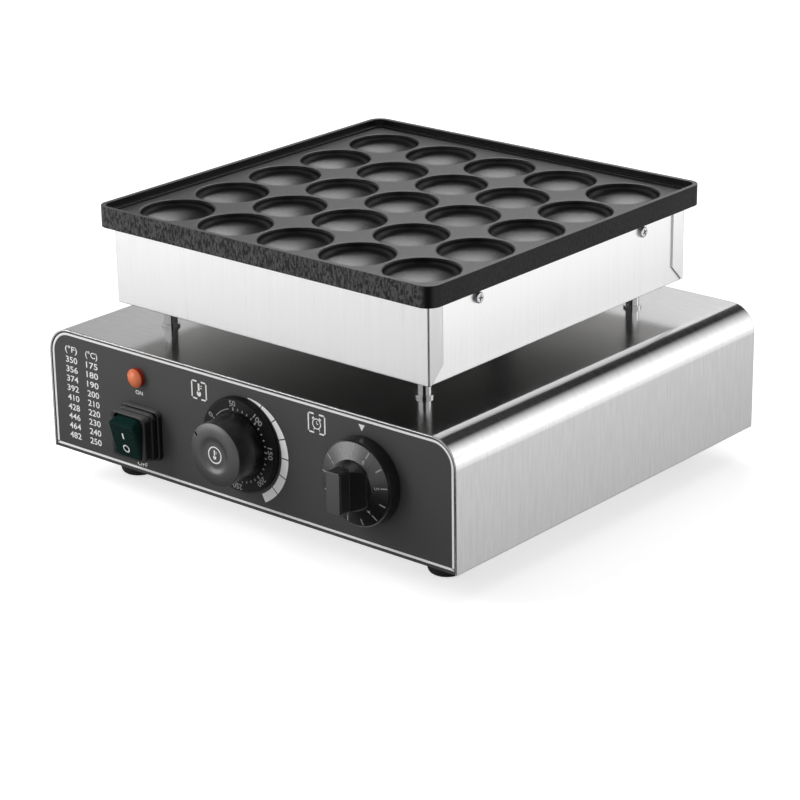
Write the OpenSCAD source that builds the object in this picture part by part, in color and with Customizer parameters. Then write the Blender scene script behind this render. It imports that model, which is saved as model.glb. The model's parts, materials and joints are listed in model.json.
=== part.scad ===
// Mini pancake maker: a square cast baking plate with round moulds on a steel box,
// which stands on four posts over a wide steel base with the controls in its front panel.
// X runs to the right, Y to the back and Z up. The feet stand on Z = 0.

/* [Baking plate] */
// Outer side of the square plate
plate_w = 265; // [255:1:300]
// Height of the plate's outer rim
rim_h = 13; // [10:0.5:18]
// Width of the lip on top of the rim
rim_lip = 3; // [2:0.5:5]
// Depth of the plate's floor below the rim
floor_depth = 5; // [3:0.5:7]
// Width of the ledge between rim and floor
ledge_w = 3; // [1.5:0.5:5]
// Drop from the ledge to the floor
ledge_drop = 1.2; // [0.6:0.1:2]
// Radius of the plate's upright corners
plate_r = 9; // [5:0.5:14]
// Thickness of the plate from floor to underside
plate_t = 14; // [13:0.5:20]
// Moulds in each row and in each column
mould_n = 5; // [3:1:5]
// Distance between mould centres
mould_pitch = 48.5; // [44:0.5:49]
// Diameter of a mould at its wall
mould_d = 45; // [38:0.5:45]
// Depth of a mould
mould_depth = 10; // [7.5:0.5:10]
// Height of the upright wall of a mould
mould_wall = 1.5; // [1:0.25:1.75]
// Radius of the curve from a mould's wall to its bowl
mould_curve = 5; // [3:0.5:5]
// Rounding of a mould's edge
mould_lip = 1.2; // [0.6:0.1:1.5]

/* [Upper box] */
// Outer side of the square box
box_w = 249.5; // [243:0.5:252]
// Height of the box below the plate
box_h = 49; // [44:1:70]
// Thickness of the box sheet
box_t = 1; // [0.8:0.1:1.5]
// Width of the covers' folded side flanges
cover_flange = 12.5; // [8:0.5:20]
// Distance between the two screws in a side
side_screw_gap = 160; // [100:5:190]
// Depth of the side screws below the plate's rim
side_screw_drop = 7.5; // [6.5:0.5:9]
// Diameter of the heating tube and of the sensor bulb clamped beside it
tube_d = 6.5; // [5:0.5:8]

/* [Posts] */
// Clear height between base and box
post_gap = 17; // [12:1:40]
// Distance between post centres
post_spacing = 204; // [190:1:214]
// Outer diameter of a post
post_d = 8.6; // [7.5:0.1:12]
// Diameter of the washer below a post
post_washer_d = 11.5; // [10:0.5:16]

/* [Base] */
// Width of the base
base_w = 326; // [310:1:380]
// Depth of the base
base_d = 297; // [280:1:340]
// Height of the base without its feet
base_h = 80; // [76:1:110]
// Radius of the base's top edges
base_r = 17; // [10:1:24]
// Thickness of the base sheet
base_t = 1; // [0.8:0.1:1.5]
// Width of the flanges folded inwards below
base_flange = 22; // [16:1:24]
// Setback of the front and back panels
panel_set = 0.5; // [0:0.1:2]
// Height of the feet with the bottom plate
foot_h = 20; // [14:1:30]
// Diameter of a foot where it stands
foot_d = 23; // [18:1:30]
// Distance of a foot's centre from the base's side
foot_inset_x = 37; // [32:1:60]
// Distance of a foot's centre from the base's front or back
foot_inset_y = 36.5; // [32:0.5:60]

/* [Controls] */
// Height of the temperature knob's centre on the panel
temp_z = 40; // [38:0.5:42]
// Diameter of the temperature dial
dial_d = 59; // [54:0.5:62]
// Thickness of the temperature dial
dial_t = 4; // [3:0.5:6]
// Diameter of the temperature knob at its foot
temp_knob_d = 41; // [34:0.5:44]
// Reach of the temperature knob in front of the panel
temp_reach = 24.5; // [18:0.5:30]
// Distance of the timer knob's centre from the base's right side
timer_inset = 67; // [52:0.5:72]
// Height of the timer knob's centre on the panel
timer_z = 41.5; // [38:0.5:42]
// Diameter of the timer knob's skirt
timer_d = 53; // [46:0.5:58]
// Height of the timer knob's skirt
timer_skirt = 9; // [6:0.5:12]
// Reach of the timer knob in front of the panel
timer_reach = 28; // [22:0.5:32]
// Width of the timer knob's grip bar
grip_w = 11; // [8:0.5:14]
// Length of the timer knob's grip bar
grip_l = 28; // [24:0.5:34]
// Diameter of both control shafts
shaft_d = 6; // [5:0.5:7]
// Distance of the switch's centre from the base's left side
switch_inset = 80; // [70:0.5:88]
// Height of the switch's centre on the panel
switch_z = 28.5; // [26:0.5:32]
// Width of the switch's rocker
rocker_w = 22.5; // [18:0.5:24]
// Radius in which the rocker swings
rocker_r = 13; // [11:0.25:13.5]
// Tilt of the rocker to either side
rocker_tilt = 15; // [8:1:16]
// Distance of the lamp's centre from the base's left side
lamp_inset = 77; // [68:0.5:85]
// Height of the lamp's centre on the panel
lamp_z = 62.5; // [61:0.5:66]
// Diameter of the lamp's lens
lamp_d = 12; // [10:0.2:14]

/* [Cable gland] */
// Distance of the gland's centre from the base's right side
gland_inset = 53; // [43:1:100]
// Height of the gland's centre on the back panel
gland_z = 30; // [26:1:40]
// Diameter of the hole for a cable
gland_bore = 8.4; // [7:0.2:9]
// Reach of the gland behind the back panel
gland_reach = 24; // [20:1:30]

/* [Hidden] */
$fn = 64;

steel = [0.80, 0.80, 0.80];
bright_steel = [0.88, 0.88, 0.88];
zinc = [0.70, 0.71, 0.73];
panel_grey = [0.25, 0.25, 0.25];
cast_black = [0.16, 0.16, 0.17];
plastic_black = [0.08, 0.08, 0.08];
rubber_black = [0.05, 0.05, 0.05];

// Shared clearances and stock
eps = 0.01;
fit_gap = 0.2;
run_gap = 0.05;
turn_gap = 0.4;
m4 = 4;
m5 = 5;
m6 = 6;
panel_t = 1.2;
control_spacing = 28;

// Levels, upwards from the surface that the feet stand on
base_top = foot_h + base_h;
box_z = base_top + post_gap;
plate_z = box_z + box_h;
plate_top = plate_z + rim_h;
floor_z = plate_top - floor_depth;
under_z = floor_z - plate_t;
tube_z = under_z - tube_d / 2;

// Places in plan
post_xy = post_spacing / 2;
foot_x = base_w / 2 - foot_inset_x;
foot_y = base_d / 2 - foot_inset_y;
leg_x = mould_pitch / 2;
front_y = -base_d / 2 + panel_set;
back_y = base_d / 2 - panel_set;
box_in = box_w / 2 - 2 * box_t;
conduit_inset = 26.75;
pad_inset = 42.75;
lead_room = 24.75;
wire_y = box_w / 2 - conduit_inset;
pad_back = box_w / 2 - pad_inset;
gland_x = base_w / 2 - gland_inset;
timer_x = base_w / 2 - timer_inset;
switch_x = base_w / 2 - switch_inset;
lamp_x = base_w / 2 - lamp_inset;

// The frame's origin lies midway between the foremost and the rearmost point
reach_shift = (timer_reach - gland_reach) / 2;

module part_frame()
    translate([0, reach_shift, 0])
    children();

// Local Z points out of the front panel, local Y up
module on_front(x, z)
    part_frame()
    translate([x, front_y, foot_h + z])
    rotate([90, 0, 0])
    children();

// Local Z points out of the back panel, local Y down
module on_back(x, z)
    part_frame()
    translate([x, back_y, foot_h + z])
    rotate([-90, 0, 0])
    children();

module at_corners(x, y)
    for (sx = [-1, 1], sy = [-1, 1])
        translate([sx * x, sy * y, 0])
        children();

module tube(r_out, r_in, h)
    difference() {
        cylinder(r = r_out, h = h);
        translate([0, 0, -eps])
        cylinder(r = r_in, h = h + 2 * eps);
    }

module rounded_rect(w, h, r) {
    square([w - 2 * r, h], center = true);
    square([w, h - 2 * r], center = true);
    for (sx = [-1, 1], sy = [-1, 1])
        translate([sx * (w / 2 - r), sy * (h / 2 - r)])
        circle(r);
}

// Rectangle that stands on the X axis with its two upper corners rounded
module arched_rect(w, h, r) {
    translate([-w / 2, 0])
    square([w, h - r]);
    translate([-w / 2 + r, 0])
    square([w - 2 * r, h]);
    for (sx = [-1, 1])
        translate([sx * (w / 2 - r), h - r])
        circle(r);
}

module hex(across, h)
    cylinder(d = across / cos(30), h = h, $fn = 6);

module hex_nut(across, bore, h)
    difference() {
        hex(across, h);
        translate([0, 0, -eps])
        cylinder(d = bore, h = h + 2 * eps);
    }

// Pan-head screw whose head stands on Z = 0 and whose shank points down
module pan_screw(d, length, head_d, head_h) {
    cylinder(d = head_d, h = head_h);
    translate([0, 0, -length])
    cylinder(d = d, h = length + eps);
}

function arc_points(cx, cy, r, a0, a1, n) =
    [for (i = [0:n]) [cx + r * cos(a0 + (a1 - a0) * i / n), cy + r * sin(a0 + (a1 - a0) * i / n)]];

// Baking plate

mould_reach = (mould_n - 1) / 2 * mould_pitch;
mould_bowl = mould_depth - mould_wall;
mould_curve_r = mould_d / 2 - mould_curve;
// Ball that would just touch the curve, and the slightly smaller one that cuts it
touch_ball_r = (pow(mould_curve_r, 2) + pow(mould_bowl, 2) - pow(mould_curve, 2)) / (2 * (mould_bowl - mould_curve));
mould_ball_r = 0.996 * touch_ball_r;
bowl_join_r = mould_curve_r * touch_ball_r / (touch_ball_r - mould_curve);
body_w = box_w - 4 * box_t - 2 * fit_gap;
lug_l = 16;
lug_t = 8;
lug_drop = 4;
side_screw_z = plate_z - side_screw_drop;
stud_depth = 4;

module at_moulds()
    for (i = [0:mould_n - 1], j = [0:mould_n - 1])
        translate([i * mould_pitch - mould_reach, j * mould_pitch - mould_reach, 0])
        children();

module mould_cut() {
    rotate_extrude() {
        translate([0, -mould_wall])
        square([mould_d / 2, mould_wall + eps]);
        intersection() {
            translate([mould_curve_r, -mould_wall])
            circle(mould_curve);
            translate([0, -mould_depth])
            square([mould_d, mould_depth]);
        }
        intersection() {
            translate([0, mould_ball_r - mould_depth])
            circle(mould_ball_r);
            translate([0, -mould_depth - eps])
            square([bowl_join_r, mould_bowl + 2 * eps]);
        }
    }
    rotate_extrude()
    difference() {
        translate([mould_d / 2 - eps, -mould_lip])
        square([mould_lip + eps, mould_lip + eps]);
        translate([mould_d / 2 + mould_lip, -mould_lip])
        circle(mould_lip);
    }
}

module at_side_screws()
    for (side = [0, 180], sy = [-1, 1])
        rotate([0, 0, side])
        translate([box_in, sy * side_screw_gap / 2, side_screw_z])
        rotate([0, 90, 0])
        children();

module at_studs()
    for (i = [-1:1], sy = [-1, 1])
        translate([i * mould_pitch, sy * mould_pitch / 2, 0])
        children();

module baking_plate()
    color(cast_black)
    part_frame()
    difference() {
        union() {
            translate([0, 0, plate_z])
            linear_extrude(rim_h)
            rounded_rect(plate_w, plate_w, plate_r);
            translate([0, 0, under_z])
            linear_extrude(plate_z - under_z + eps)
            rounded_rect(body_w, body_w, plate_r / 2);
            for (side = [0, 180], sy = [-1, 1])
                rotate([0, 0, side])
                translate([body_w / 2 - lug_t, sy * side_screw_gap / 2 - lug_l / 2, side_screw_z - lug_drop])
                cube([lug_t, lug_l, under_z - side_screw_z + lug_drop + eps]);
        }
        translate([0, 0, floor_z + ledge_drop])
        linear_extrude(floor_depth)
        rounded_rect(plate_w - 2 * rim_lip, plate_w - 2 * rim_lip, plate_r - rim_lip);
        translate([0, 0, floor_z])
        linear_extrude(floor_depth)
        rounded_rect(plate_w - 2 * (rim_lip + ledge_w), plate_w - 2 * (rim_lip + ledge_w),
            plate_r - rim_lip - ledge_w);
        translate([0, 0, floor_z])
        at_moulds()
        mould_cut();
        at_side_screws()
        translate([0, 0, -lug_t - box_t])
        cylinder(d = m4, h = lug_t + 2 * box_t);
        translate([0, 0, under_z - eps])
        at_studs()
        cylinder(d = m5 + 2 * run_gap, h = stud_depth + eps);
    }

// Upper box

tray_flange = 12;
box_side_h = box_h;

module box_tray()
    color(bright_steel)
    part_frame()
    difference() {
        union() {
            translate([-box_w / 2 + box_t, -box_w / 2 + box_t, box_z])
            cube([box_w - 2 * box_t, box_w - 2 * box_t, box_t]);
            for (side = [0, 180])
                rotate([0, 0, side]) {
                    translate([box_in, -box_w / 2 + box_t, box_z])
                    cube([box_t, box_w - 2 * box_t, box_side_h]);
                    translate([-box_in, -box_w / 2 + box_t, box_z])
                    cube([2 * box_in, box_t, tray_flange]);
                }
        }
        at_side_screws()
        translate([0, 0, -eps])
        cylinder(d = m4 + fit_gap, h = box_t + 2 * eps);
        translate([0, 0, box_z - eps]) {
            at_corners(post_xy, post_xy)
            cylinder(d = m6 + 2 * fit_gap, h = box_t + 2 * eps);
            translate([0, wire_y, 0])
            cylinder(d = conduit_d + 2 * fit_gap, h = box_t + 2 * eps);
        }
    }

// Cover sheet folded round both upright corners, seen from above
module cover_outline() {
    bend_r = 1.5 * box_t;
    difference() {
        translate([0, cover_flange / 2])
        union() {
            translate([0, bend_r / 2])
            square([box_w, cover_flange - bend_r], center = true);
            translate([0, -cover_flange / 2 + bend_r / 2])
            square([box_w - 2 * bend_r, bend_r], center = true);
            for (sx = [-1, 1])
                translate([sx * (box_w / 2 - bend_r), -cover_flange / 2 + bend_r])
                circle(bend_r);
        }
        translate([-box_w / 2 + box_t, box_t])
        square([box_w - 2 * box_t, cover_flange]);
    }
}

module box_cover()
    difference() {
        translate([0, -box_w / 2, box_z])
        linear_extrude(box_side_h)
        cover_outline();
        // Mitre at the lower end of each flange
        translate([0, -box_w / 2 + box_t, box_z])
        rotate([90, 0, 90])
        linear_extrude(box_w + 2, center = true)
        polygon([[cover_flange, -1], [cover_flange, cover_flange - box_t], [box_t, 0], [box_t, -1]]);
    }

module box_front_cover()
    color(bright_steel)
    part_frame()
    box_cover();

module box_rear_cover()
    color(bright_steel)
    part_frame()
    rotate([0, 0, 180])
    box_cover();

module box_screws()
    color(zinc)
    part_frame()
    at_side_screws()
    translate([0, 0, box_t])
    pan_screw(m4 - 2 * run_gap, lug_t + box_t, 1.75 * m4, 0.6 * m4);

// Heating parts under the plate

leg_front = -70;
leg_back = 60;
pin_d = 4;
pin_l = 12;
leg_end = box_w / 2 - lead_room - pin_l;
clamp_t = 1.5;
clamp_front = -104;
clamp_back = 52;
clamp_w = 4 * mould_pitch;
clamp_z = tube_z - tube_d / 2 - clamp_t;
nut_h = 4;

module tube_leg(x, y0, y1)
    translate([x, y0, tube_z])
    rotate([-90, 0, 0])
    cylinder(d = tube_d, h = y1 - y0);

// Half ring of tube that joins two legs, open to the back
module tube_bend(x, y)
    translate([x, y, tube_z])
    rotate([0, 0, 180])
    rotate_extrude(angle = 180)
    translate([leg_x, 0])
    circle(d = tube_d);

module heating_element()
    color(zinc)
    part_frame()
    union() {
        for (sx = [-1, 1]) {
            tube_leg(sx * 3 * leg_x, leg_front, leg_end);
            tube_leg(sx * leg_x, leg_front, leg_back);
            tube_bend(sx * 2 * leg_x, leg_front);
            translate([sx * 3 * leg_x, leg_end - eps, tube_z])
            rotate([-90, 0, 0])
            cylinder(d = pin_d, h = pin_l);
        }
        translate([0, 2 * leg_back, 0])
        mirror([0, 1, 0])
        tube_bend(0, leg_back);
    }

module element_clamp()
    color(steel)
    part_frame()
    difference() {
        translate([-clamp_w / 2, clamp_front, clamp_z])
        cube([clamp_w, clamp_back - clamp_front, clamp_t]);
        translate([0, 0, clamp_z - eps])
        at_studs()
        cylinder(d = m5 + 2 * fit_gap, h = clamp_t + 2 * eps);
    }

module clamp_studs()
    color(zinc)
    part_frame()
    at_studs()
    translate([0, 0, clamp_z - 2 * nut_h])
    cylinder(d = m5, h = under_z + stud_depth - clamp_z + 2 * nut_h);

module clamp_nuts()
    color(zinc)
    part_frame()
    at_studs()
    translate([0, 0, clamp_z - nut_h])
    hex_nut(1.6 * m5, m5 + 2 * run_gap, nut_h);

pad_h = 20;
pad_half = box_in - 6;
reflector_t = 0.8;
reflector_edge = 8;
pad_z = box_z + box_t;

module insulation_pad()
    color([0.85, 0.82, 0.70])
    part_frame()
    difference() {
        translate([-pad_half, -pad_half, pad_z])
        cube([2 * pad_half, pad_half + pad_back, pad_h]);
        for (sx = [-1, 1])
            translate([sx * post_xy, -post_xy, pad_z - eps])
            cylinder(d = 2.6 * m6, h = pad_h + 2 * eps);
    }

module heat_reflector()
    color(steel)
    part_frame()
    translate([0, 0, pad_z + pad_h])
    difference() {
        translate([-pad_half, -pad_half, 0])
        cube([2 * pad_half, pad_half + pad_back, reflector_edge]);
        translate([-pad_half + reflector_t, -pad_half + reflector_t, reflector_t])
        cube([2 * (pad_half - reflector_t), pad_half + pad_back - 2 * reflector_t, reflector_edge]);
    }

bulb_x = 10;
bulb_front = -60;
bulb_back = 35;

module sensor_bulb()
    color([0.72, 0.45, 0.30])
    part_frame()
    translate([bulb_x, bulb_front, tube_z])
    rotate([-90, 0, 0])
    cylinder(d = tube_d, h = bulb_back - bulb_front);

// Posts between base and box

washer_t = 1.6;
post_bore = m6 + 2 * fit_gap;
bolt_head_h = 4;
post_nut_h = 5;
conduit_d = 16;
conduit_wall = 2;
conduit_nut_h = 4;

module post(sx, sy)
    color(bright_steel)
    part_frame()
    translate([sx * post_xy, sy * post_xy, base_top + washer_t])
    tube(post_d / 2, post_bore / 2, post_gap - washer_t);

module post_front_left() post(-1, -1);
module post_front_right() post(1, -1);
module post_rear_left() post(-1, 1);
module post_rear_right() post(1, 1);

module post_washers()
    color(bright_steel)
    part_frame()
    translate([0, 0, base_top])
    at_corners(post_xy, post_xy)
    tube(post_washer_d / 2, post_bore / 2, washer_t);

module post_bolts()
    color(zinc)
    part_frame()
    translate([0, 0, box_z + box_t])
    at_corners(post_xy, post_xy) {
        hex(1.6 * m6, bolt_head_h);
        translate([0, 0, -post_gap - box_t - base_t - post_nut_h - 2])
        cylinder(d = m6, h = post_gap + box_t + base_t + post_nut_h + 2 + eps);
    }

module post_nuts()
    color(zinc)
    part_frame()
    translate([0, 0, base_top - base_t - post_nut_h])
    at_corners(post_xy, post_xy)
    hex_nut(1.6 * m6, m6 + 2 * run_gap, post_nut_h);

module wire_conduit()
    color(zinc)
    part_frame()
    translate([0, wire_y, base_top - base_t - conduit_nut_h - 2])
    tube(conduit_d / 2, conduit_d / 2 - conduit_wall, post_gap + box_t + base_t + 2 * conduit_nut_h + 4);

module conduit_nuts()
    color(zinc)
    part_frame()
    for (z = [base_top - base_t - conduit_nut_h, box_z + box_t])
        translate([0, wire_y, z])
        hex_nut(1.4 * conduit_d, conduit_d + 2 * run_gap, conduit_nut_h);

// Base

bottom_t = 1;
bottom_gap = 6;
screw_in = base_flange / 2;
tab_h = 24;
tab_w = 14;

module at_bottom_screws() {
    for (sx = [-1, 1], y = [-0.28, 0.28])
        translate([sx * (base_w / 2 - screw_in), y * base_d, 0])
        children();
    for (sy = [-1, 1], x = [-0.2, 0.2])
        translate([x * base_w, sy * (base_d / 2 - screw_in - panel_set), 0])
        children();
}

module base_section() {
    difference() {
        arched_rect(base_w, base_h, base_r);
        translate([0, -eps])
        arched_rect(base_w - 2 * base_t, base_h - base_t + eps, base_r - base_t);
    }
    for (sx = [-1, 1])
        translate([sx * (base_w - base_flange) / 2, base_t / 2])
        square([base_flange, base_t], center = true);
}

module base_wrap()
    color(steel)
    part_frame()
    difference() {
        translate([0, base_d / 2, foot_h])
        rotate([90, 0, 0])
        linear_extrude(base_d)
        base_section();
        translate([0, 0, base_top - base_t - eps]) {
            at_corners(post_xy, post_xy)
            cylinder(d = post_bore, h = base_t + 2 * eps);
            translate([0, wire_y, 0])
            cylinder(d = conduit_d + 2 * fit_gap, h = base_t + 2 * eps);
        }
        translate([0, 0, foot_h - eps])
        at_bottom_screws()
        cylinder(d = m4 + fit_gap, h = base_t + 2 * eps);
        // Front and back panels fold in between the side flanges
        for (side = [0, 180])
            rotate([0, 0, side])
            translate([-base_w / 2 + base_t, -base_d / 2 - eps, foot_h - eps])
            cube([base_w - 2 * base_t, panel_set + base_flange + 1, base_t + 2 * eps]);
    }

// Panel with a flange folded in below and a tab folded in at each side
module end_panel() {
    in_w = base_w - 2 * base_t;
    in_h = base_h - base_t;
    rotate([90, 0, 0])
    translate([0, 0, -panel_t])
    linear_extrude(panel_t)
    arched_rect(in_w, in_h, base_r - base_t);
    translate([-in_w / 2, 0, 0])
    cube([in_w, base_flange, base_t]);
    for (sx = [-1, 1])
        translate([sx * (in_w - base_t) / 2 - base_t / 2, 0, base_h / 2 - tab_h / 2])
        cube([base_t, tab_w, tab_h]);
}

module shaft_holes() {
    cylinder(d = bush_d + 2 * fit_gap, h = 4 * panel_t, center = true);
    for (sx = [-1, 1])
        translate([sx * control_spacing / 2, 0, 0])
        cylinder(d = m4 + fit_gap, h = 4 * panel_t, center = true);
}

module front_panel()
    color(panel_grey)
    difference() {
        part_frame()
        translate([0, front_y, foot_h])
        end_panel();
        on_front(0, temp_z)
        shaft_holes();
        on_front(timer_x, timer_z)
        shaft_holes();
        on_front(-switch_x, switch_z)
        cube([switch_body_w + 2 * fit_gap, switch_body_h + 2 * fit_gap, 4 * panel_t], center = true);
        on_front(-lamp_x, lamp_z)
        cylinder(d = lamp_thread_d + 2 * fit_gap, h = 4 * panel_t, center = true);
        part_frame()
        translate([0, 0, foot_h - eps])
        at_bottom_screws()
        cylinder(d = m4 + fit_gap, h = base_t + 2 * eps);
    }

module back_panel()
    color(steel)
    difference() {
        part_frame()
        rotate([0, 0, 180])
        translate([0, front_y, foot_h])
        end_panel();
        on_back(gland_x, gland_z)
        cylinder(d = gland_thread_d + 2 * fit_gap, h = 4 * panel_t, center = true);
        part_frame()
        translate([0, 0, foot_h - eps])
        at_bottom_screws()
        cylinder(d = m4 + fit_gap, h = base_t + 2 * eps);
    }

slot_l = 60;
slot_w = 5;
slot_step = 14;
slot_n = 7;

module bottom_plate()
    color(steel)
    part_frame()
    difference() {
        translate([0, 0, foot_h - bottom_t])
        linear_extrude(bottom_t)
        difference() {
            rounded_rect(base_w - bottom_gap, base_d - bottom_gap, 3);
            for (sx = [-1, 1], i = [0:slot_n - 1])
                translate([sx * slot_l, (i - (slot_n - 1) / 2) * slot_step])
                rounded_rect(slot_l, slot_w, slot_w / 2 - eps);
        }
        translate([0, 0, foot_h - bottom_t - eps]) {
            at_bottom_screws()
            cylinder(d = m4 + fit_gap, h = bottom_t + 2 * eps);
            at_corners(foot_x, foot_y)
            cylinder(d = m5 + fit_gap, h = bottom_t + 2 * eps);
            at_terminal_screws()
            cylinder(d = m4 + fit_gap, h = bottom_t + 2 * eps);
        }
    }

module bottom_screws()
    color(zinc)
    part_frame()
    translate([0, 0, foot_h - bottom_t])
    at_bottom_screws()
    mirror([0, 0, 1])
    pan_screw(m4, bottom_t + base_t + 4, 1.75 * m4, 0.6 * m4);

// Feet

foot_top_d = foot_d + 4;
foot_body_h = foot_h - bottom_t;
foot_seat = 7;
foot_hole_d = 2 * m5;
foot_edge = 4;

module foot(sx, sy)
    color(rubber_black)
    part_frame()
    translate([sx * foot_x, sy * foot_y, 0])
    rotate_extrude()
    polygon(concat(
        [[foot_hole_d / 2, 0]],
        arc_points(foot_d / 2 - foot_edge, foot_edge, foot_edge, -90, 0, 6),
        [[foot_top_d / 2, foot_body_h],
        [m5 / 2 + fit_gap, foot_body_h],
        [m5 / 2 + fit_gap, foot_body_h - foot_seat],
        [foot_hole_d / 2, foot_body_h - foot_seat]]));

module foot_front_left() foot(-1, -1);
module foot_front_right() foot(1, -1);
module foot_rear_left() foot(-1, 1);
module foot_rear_right() foot(1, 1);

module foot_screws()
    color(zinc)
    part_frame()
    translate([0, 0, foot_body_h - foot_seat])
    at_corners(foot_x, foot_y)
    mirror([0, 0, 1])
    pan_screw(m5, foot_seat + bottom_t + 5, foot_hole_d - 4 * fit_gap, 0.6 * m5);

// Temperature control

bush_d = 10;
bush_reach = 2.4;
flat_z = bush_reach + 1;
bracket_t = 1.5;
bracket_h = 18;
thermostat_w = 42;
thermostat_h = 34;
thermostat_l = 30;
shaft_in = 14;
shaft_cap = 5;
head_h = 1.8;
dial_seat = 20;
knob_wall = 2.2;
hub_d = 12;
knob_round = 0.8;
knob_taper = 0.7;
dome_drop = 1;
dish_out_r = 12.3;
dish_in_r = 7.5;
dish_depth = 1;

// Bracket and threaded bush that hold a control behind the panel
module control_mount(w) {
    translate([-w / 2, -bracket_h / 2, -panel_t - bracket_t])
    cube([w, bracket_h, bracket_t]);
    translate([0, 0, -panel_t - bracket_t])
    cylinder(d = bush_d, h = panel_t + bracket_t + bush_reach);
}

module control_bores() {
    translate([0, 0, -shaft_in - run_gap])
    cylinder(d = shaft_d + 2 * run_gap, h = shaft_in + bush_reach + 1);
    for (sx = [-1, 1])
        translate([sx * control_spacing / 2, 0, -panel_t - bracket_t - 4])
        cylinder(d = m4, h = bracket_t + 4 + eps);
}

module control_screws()
    for (sx = [-1, 1])
        translate([sx * control_spacing / 2, 0, 0])
        pan_screw(m4 - 2 * run_gap, panel_t + bracket_t + 3, 1.6 * m4, head_h);

// Turned shaft with a flat on the end that carries the knob
module control_shaft(reach)
    difference() {
        translate([0, 0, -shaft_in])
        cylinder(d = shaft_d, h = shaft_in + reach);
        translate([-shaft_d / 2, shaft_d / 4, flat_z])
        cube([shaft_d, shaft_d, reach]);
    }

module knob_bore(reach)
    difference() {
        cylinder(d = shaft_d, h = reach);
        translate([-shaft_d / 2, shaft_d / 4, flat_z])
        cube([shaft_d, shaft_d, reach]);
    }

module thermostat_body()
    color([0.75, 0.75, 0.72])
    on_front(0, temp_z)
    difference() {
        union() {
            control_mount(thermostat_w);
            translate([0, 0, -panel_t - bracket_t - thermostat_l])
            linear_extrude(thermostat_l + eps)
            rounded_rect(thermostat_w, thermostat_h, 3);
        }
        control_bores();
    }

module thermostat_shaft()
    color(zinc)
    on_front(0, temp_z)
    control_shaft(temp_reach - shaft_cap);

module thermostat_screws()
    color(zinc)
    on_front(0, temp_z)
    control_screws();

module temperature_dial()
    color(plastic_black)
    on_front(0, temp_z)
    rotate_extrude()
    polygon([
        [dial_seat, 0],
        [dial_d / 2, 0],
        [dial_d / 2, dial_t - 1],
        [dial_d / 2 - 1, dial_t],
        [bush_d / 2 + 1, dial_t],
        [bush_d / 2 + 1, dial_t - 1.5],
        [dial_seat, dial_t - 1.5]]);

module temperature_knob()
    color(plastic_black)
    on_front(0, temp_z)
    difference() {
        knob_z = dial_t + turn_gap;
        foot_r = temp_knob_d / 2;
        face_r = foot_r - knob_taper;
        dome_r = face_r - knob_round;
        rotate_extrude()
        polygon(concat(
            [[0, knob_z], [foot_r, knob_z]],
            arc_points(dome_r, temp_reach - dome_drop - knob_round, knob_round, 0, 75, 5),
            [for (k = [1:7]) [dome_r + (dish_out_r - dome_r) * k / 8, temp_reach - dome_drop * pow(1 - k / 8, 2)]],
            [for (k = [0:10]) [dish_out_r + (dish_in_r - dish_out_r) * k / 10,
                temp_reach - dish_depth * (1 - cos(18 * k)) / 2]],
            [[0, temp_reach - dish_depth]]));
        difference() {
            translate([0, 0, knob_z - eps])
            cylinder(r = face_r - knob_wall, h = temp_reach - knob_z - shaft_cap);
            cylinder(d = hub_d, h = temp_reach);
        }
        knob_bore(temp_reach - shaft_cap);
        // Index notch in the knob's edge
        rotate([0, 0, index_angle])
        translate([0, foot_r, temp_reach])
        cube([index_w, 2 * index_depth, 2 * temp_reach / 3], center = true);
    }

index_angle = 55;
index_w = 1.2;
index_depth = 4;

// Timer control

timer_can_d = 44;
timer_can_l = 34;
timer_lift = 0.6;
timer_hub_w = 23;
timer_hub_l = 30.5;
hub_wall = 3.6;
hub_rise = 11;
skirt_taper = 0.5;
skirt_edge = 0.8;
skirt_rise = 2.8;
skirt_cone_r = 14.5;
grip_r = 2.5;
grip_round = 0.8;

module timer_body()
    color([0.62, 0.60, 0.55])
    on_front(timer_x, timer_z)
    difference() {
        union() {
            control_mount(timer_can_d);
            translate([0, 0, -panel_t - bracket_t - timer_can_l])
            cylinder(d = timer_can_d, h = timer_can_l + eps);
        }
        control_bores();
    }

module timer_shaft()
    color(zinc)
    on_front(timer_x, timer_z)
    control_shaft(timer_reach - 2 * shaft_cap);

module timer_screws()
    color(zinc)
    on_front(timer_x, timer_z)
    control_screws();

// Bar that is held when the timer is set, with its front edges rounded
module timer_grip() {
    bar_l = grip_l - 2 * skirt_edge;
    intersection() {
        linear_extrude(timer_reach)
        rounded_rect(grip_w, bar_l, grip_r);
        rotate([90, 0, 0])
        linear_extrude(2 * bar_l, center = true)
        arched_rect(grip_w, timer_reach, grip_round);
        rotate([90, 0, 90])
        linear_extrude(2 * bar_l, center = true)
        arched_rect(bar_l, timer_reach, grip_round);
    }
}

// Hub that slopes from the skirt up to the bar
module timer_hub() {
    wall_z = timer_skirt + hub_wall;
    top_z = timer_skirt + hub_rise;
    intersection() {
        rotate_extrude()
        polygon([
            [0, timer_skirt - 1],
            [timer_hub_l / 2, timer_skirt - 1],
            [timer_hub_l / 2, wall_z],
            [grip_l / 2 - skirt_edge, top_z],
            [0, top_z]]);
        rotate([90, 0, 0])
        linear_extrude(2 * timer_hub_l, center = true)
        polygon([
            [-timer_hub_w / 2, 0],
            [timer_hub_w / 2, 0],
            [timer_hub_w / 2, wall_z],
            [grip_w / 2, top_z],
            [-grip_w / 2, top_z],
            [-timer_hub_w / 2, wall_z]]);
    }
}

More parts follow.
